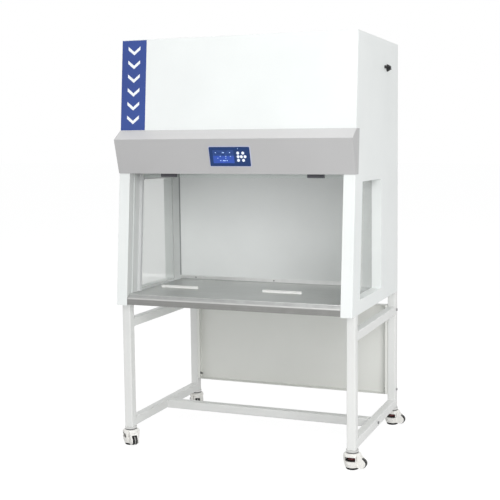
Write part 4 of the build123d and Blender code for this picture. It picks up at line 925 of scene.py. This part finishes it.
def add_display_details():
    """Pale trim round the bezel, lit bars on the screen, and a status light over the keys."""
    trim_white = coated("trim_white", TRIM_PALE, TRIM_PALE_SHADE, Gloss_Low=0.2, Gloss_High=0.3)
    width, height = 2 * BEZEL_FACE.half[0], 2 * BEZEL_FACE.half[1]
    outer = rounded_rectangle(width + 2 * TRIM, height + 2 * TRIM, BEZEL_CORNER + TRIM)
    inner = rounded_rectangle(width + 2 * TRIM_GAP, height + 2 * TRIM_GAP, BEZEL_CORNER)
    canopy_face = facing("control_canopy", (0, -1, 0))
    points, faces = ring_plate(outer, inner, TRIM_THICK)
    points[:, 2] -= (BEZEL_FACE.centre - canopy_face.centre) @ BEZEL_FACE.out
    piece("bezel_trim", BEZEL_FACE.put(points), faces, "cabinet", trim_white)
    lit = glowing("screen_marks", SCREEN_MARK, strength=0.6)
    marks = []
    for half_height, level, spots in MARK_ROWS:
        outline = rounded_rectangle(MARK_WIDTH, 2 * half_height, half_height * MARK_ROUNDING, steps=3)
        points, faces = slab(outline, MARK_THICK)
        places = [(spot * SCREEN_FACE.half[0], level * SCREEN_FACE.half[1], 0.0) for spot in spots]
        marks += [(points + np.array(place), faces) for place in places]
    points, faces = joined(marks)
    piece("screen_marks", SCREEN_FACE.put(points), faces, "cabinet", lit)
    points, faces = slab(rounded_rectangle(2 * STATUS_R, 2 * STATUS_R, STATUS_R * 0.999), STATUS_THICK)
    spot = np.array([share * half for share, half in zip(STATUS_SPOT, BEZEL_FACE.half)] + [0.0])
    piece("status_light", BEZEL_FACE.put(points + spot), faces, "cabinet", lit)


add_display_details()


# ================================================================ sealant in the chamber's rear corners

def add_corner_seals():
    """Three-sided beads between the side walls and the back wall, from the table's upstand to the ceiling."""
    grey = coated("sealant_grey", SEALANT, darker(SEALANT, 0.8), Gloss_Low=0.5, Gloss_High=0.65)
    depth = facing("back_wall", (0, -1, 0)).centre[1]
    low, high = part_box("work_table")[1].z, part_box("diffuser_tray")[0].z
    corners = ((1, "left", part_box("side_wall_left")[1].x), (-1, "right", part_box("side_wall_right")[0].x))
    for side, wall, corner in corners:
        section = [(corner, depth), (corner + side * SEAL, depth), (corner, depth - SEAL)][::-side]
        points, faces = slab(section, high - low)
        piece(f"corner_seal_{wall}", points + np.array([0.0, 0.0, low]), faces, "cabinet", grey)


add_corner_seals()


# ================================================================ small fasteners

def screw_head(steps=20, rings=6):
    """Pan head: rim height plus a half ellipse over a closed disc, cut where |x| or |y| is small."""
    angle = np.linspace(0, 2 * math.pi, steps, endpoint=False)
    radius = np.linspace(SCREW_EYE, 1.0, rings)[:, None]
    x = radius * np.cos(angle) * SCREW_R
    y = radius * np.sin(angle) * SCREW_R
    dome = (1 - SCREW_BRIM) * np.sqrt(np.maximum(0.0, 1 - radius ** 2))
    z = SCREW_HEAD * (SCREW_BRIM + dome) + 0 * x
    slot = (np.minimum(abs(x), abs(y)) < SLOT_HALF * SCREW_R) & (radius < SLOT_REACH)
    z = np.where(slot, z - SLOT_DEPTH * SCREW_HEAD, z)
    top = np.column_stack([x.ravel(), y.ravel(), z.ravel()])
    skirt = np.column_stack([x[-1], y[-1], np.zeros(steps)])
    points = np.concatenate([top, skirt, [[0.0, 0.0, z[0].mean()]]])
    faces = [list(f) for f in grid_quads(rings + 1, steps)]
    hub = len(points) - 1
    faces += [[hub, (i + 1) % steps, i] for i in range(steps)]
    faces.append([rings * steps + i for i in range(steps)])
    return points, [f[::-1] for f in faces]


def put_screws(name, plane, spots, share=1.0):
    """Screw heads at (u, v) spots of a plane, as one piece; share is the part of their height that shows."""
    head, faces = screw_head()
    head = head * (1.0, 1.0, share)
    points, faces = joined([(head + np.array([u, v, 0.0]), faces) for u, v in spots])
    piece(name, plane.put(points), faces, "cabinet", zinc)


def edge_spots(plane):
    """Spots round the edge of a rectangular plane, at about one pitch."""
    u, v = plane.half[0] - SCREW_INSET, plane.half[1] - SCREW_INSET
    across = max(2, round(2 * u / SCREW_PITCH) + 1)
    along = max(2, round(2 * v / SCREW_PITCH) + 1)
    spots = [(x, side * v) for side in (-1, 1) for x in np.linspace(-u, u, across)]
    return spots + [(side * u, y) for side in (-1, 1) for y in np.linspace(-v, v, along)[1:-1]]


def add_screws():
    """Screws of the rear panel and the roof, of the table's upstand and beside the power inlet."""
    rear = facing("rear_panel", (0, 1, 0))
    put_screws("rear_screws", rear, edge_spots(rear))
    roof = facing("roof_panel", (0, 0, 1))
    put_screws("roof_screws", roof, edge_spots(roof), ROOF_SCREW_SHARE)
    table_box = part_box("work_table")
    centre = (0.0, table_box[1].y - UPSTAND_SCREW_SINK, table_box[1].z - UPSTAND_SCREW_DROP)
    put_screws("upstand_screw", Plane(centre, (1, 0, 0), (0, 0, 1)), [(x, 0.0) for x in UPSTAND_SCREWS])
    right_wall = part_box("side_wall_right")
    inlet_plane = Plane((right_wall[1].x, *INLET_SCREW), (0, 1, 0), (0, 0, 1))
    put_screws("inlet_screw", inlet_plane, [(0.0, 0.0)])


add_screws()
